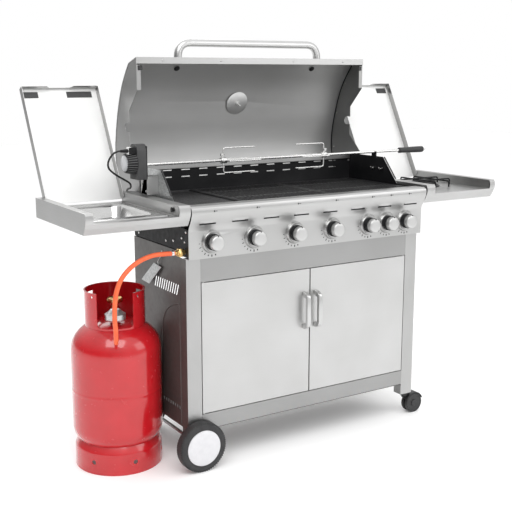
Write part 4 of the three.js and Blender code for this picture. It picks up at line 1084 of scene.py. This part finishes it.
def collar_cutter(heading, half_angle, low, high, corner):
    """A wedge that opens the collar over an angle, its lower corners rounded."""
    outline = [(-half_angle, high), (half_angle, high)]
    drop = 120 * corner
    quarter = [i / 5 * pi / 2 for i in range(6)]
    for side in (1, -1):
        arc = [(side * (half_angle - corner + corner * cos(a)), low + drop - drop * sin(a))
               for a in quarter]
        outline += arc if side > 0 else arc[::-1]
    points = []
    for radius in (80, 125):
        for a, z in outline:
            x = BOTTLE[0] + radius * cos(heading + a)
            points.append((x, BOTTLE[1] + radius * sin(heading + a), z))
    n = len(outline)
    faces = [tuple(range(n)), tuple(range(n, 2 * n))]
    faces += [(i, (i + 1) % n, n + (i + 1) % n, n + i) for i in range(n)]
    return mesh_from("collar_cutter", points, faces)


def make_collar():
    """The guard ring round the valve: open towards the outlet, with two grips and small holes."""
    r = 100
    wall = [(r - 3, 482), (r, 480), (r, 597), (r + 1.6, 598.5), (r + 1.4, 600), (r - 3, 600),
            (r - 3.6, 598.5), (r - 3, 597), (r - 3, 482)]
    ring = lathe("bottle_collar", wall, (*BOTTLE, 0), "z", 120)
    heading = Vector((1, 0)).angle_signed(OUTLET) * -1
    tools = [collar_cutter(heading, radians(36), 486, 620, radians(7))]
    for side in (-1, 1):
        grip = heading + side * radians(112)
        tools.append(collar_cutter(grip, radians(21), 548, 580, radians(6)))
        tools.append(peg(BOTTLE, heading + side * radians(48), 586, 4.5, 80, 125))
    mesh = carved(ring, tools)
    smooth(mesh, 30)
    soften(settle("bottle_collar", mesh, RED), 0.7)


def make_valve():
    refined("bottle_valve", BRASS, 0.6)
    wheel = [(0, 552.4), (7, 552.4), (8, 556), (20, 557), (24, 553.5), (26, 556.5), (26, 563.5),
             (24, 567), (20, 564), (8, 565), (6, 569), (0, 569)]
    turned("handwheel", wheel, (*BOTTLE, 0), "z", 48, BRASS, "valve_handwheel",
           replaces=["valve_handwheel"])
    refined("regulator", ZINC, 0.8, angle=30)


# ---- wheels -------------------------------------------------------------------------------------
def make_wheels():
    for name, y, out in (("front", -3, -1), ("rear", DEPTH + 3, 1)):
        tyre = [(61, 38), (62.5, 39), (66, 39.3), (74, 38.6), (80, 36.5), (83.4, 33.4), (84.6, 30),
                (84.8, 8), (83.4, 3.6), (80, 1), (66, 0.6), (62, 3), (61, 6), (61, 38)]
        hub = [(6.7, 30), (6.7, 6), (20, 5.6), (60.6, 5.6), (60.6, 38), (60.2, 40.2), (57, 41.6),
               (45, 43.4), (25, 44.6), (0, 45)]
        body = "wheel_" + name
        place = (-449, y, 85)
        turned("tyre_" + name, [(r, out * h) for r, h in tyre], place, "y", 96, TYRE, body,
               replaces=[body])
        turned("hub_" + name, [(r, out * h) for r, h in hub], place, "y", 96, HUB, body)
        make_tread(name, body, place, out)
    refined("wheel_axle", ZINC, 0.6)


def make_tread(name, body, place, out):
    """Cross bars round the tyre's shoulders, one mesh for the whole wheel."""
    points, faces = [], []
    count = 64
    for k in range(count):
        for low, high, shift in ((2.5, 15, 0), (22, 36.5, 0.5)):
            a = 2 * pi * (k + shift) / count
            base = len(points)
            for r in (82.0, 85.0):
                for da in (-0.022, 0.022):
                    for h in (low, high):
                        reach = r - 1.6 if h in (2.5, 36.5) and r > 84 else r
                        x, z = reach * sin(a + da), reach * cos(a + da)
                        points.append((place[0] + x, place[1] + out * h, place[2] + z))
            faces += [tuple(base + i for i in face) for face in BOX_FACES]
    mesh = mesh_from("tread_" + name, points, faces)
    settle("tread_" + name, mesh, TYRE, body)


def make_casters():
    for end, y in (("front", 24), ("rear", 364)):
        refined("caster_fork_" + end, BLACK, 1.0)
        roller = [(0, -19), (13, -19), (14, -17.6), (14, -15.5), (31, -15.5), (32.5, -17),
                  (36, -17), (37.6, -15.5), (38, -13), (38, -7), (37, -4.6), (34, -4), (4, -4),
                  (4, 4), (34, 4), (37, 4.6), (38, 7), (38, 13), (37.6, 15.5), (36, 17), (32.5, 17),
                  (31, 15.5), (14, 15.5), (14, 17.6), (13, 19), (0, 19)]
        name = "caster_wheel_" + end
        turned(name + "_fine", roller, (510, y, 38), "y", 48, BLACK, name, replaces=[name])


make_camera()
make_motor_lead()
make_hose()
make_studio()
make_cart()
make_control_panel()
make_firebox()
make_hood()
make_side_tables()
make_rotisserie()
make_gas_bottle()
make_valve()
make_wheels()
make_casters()
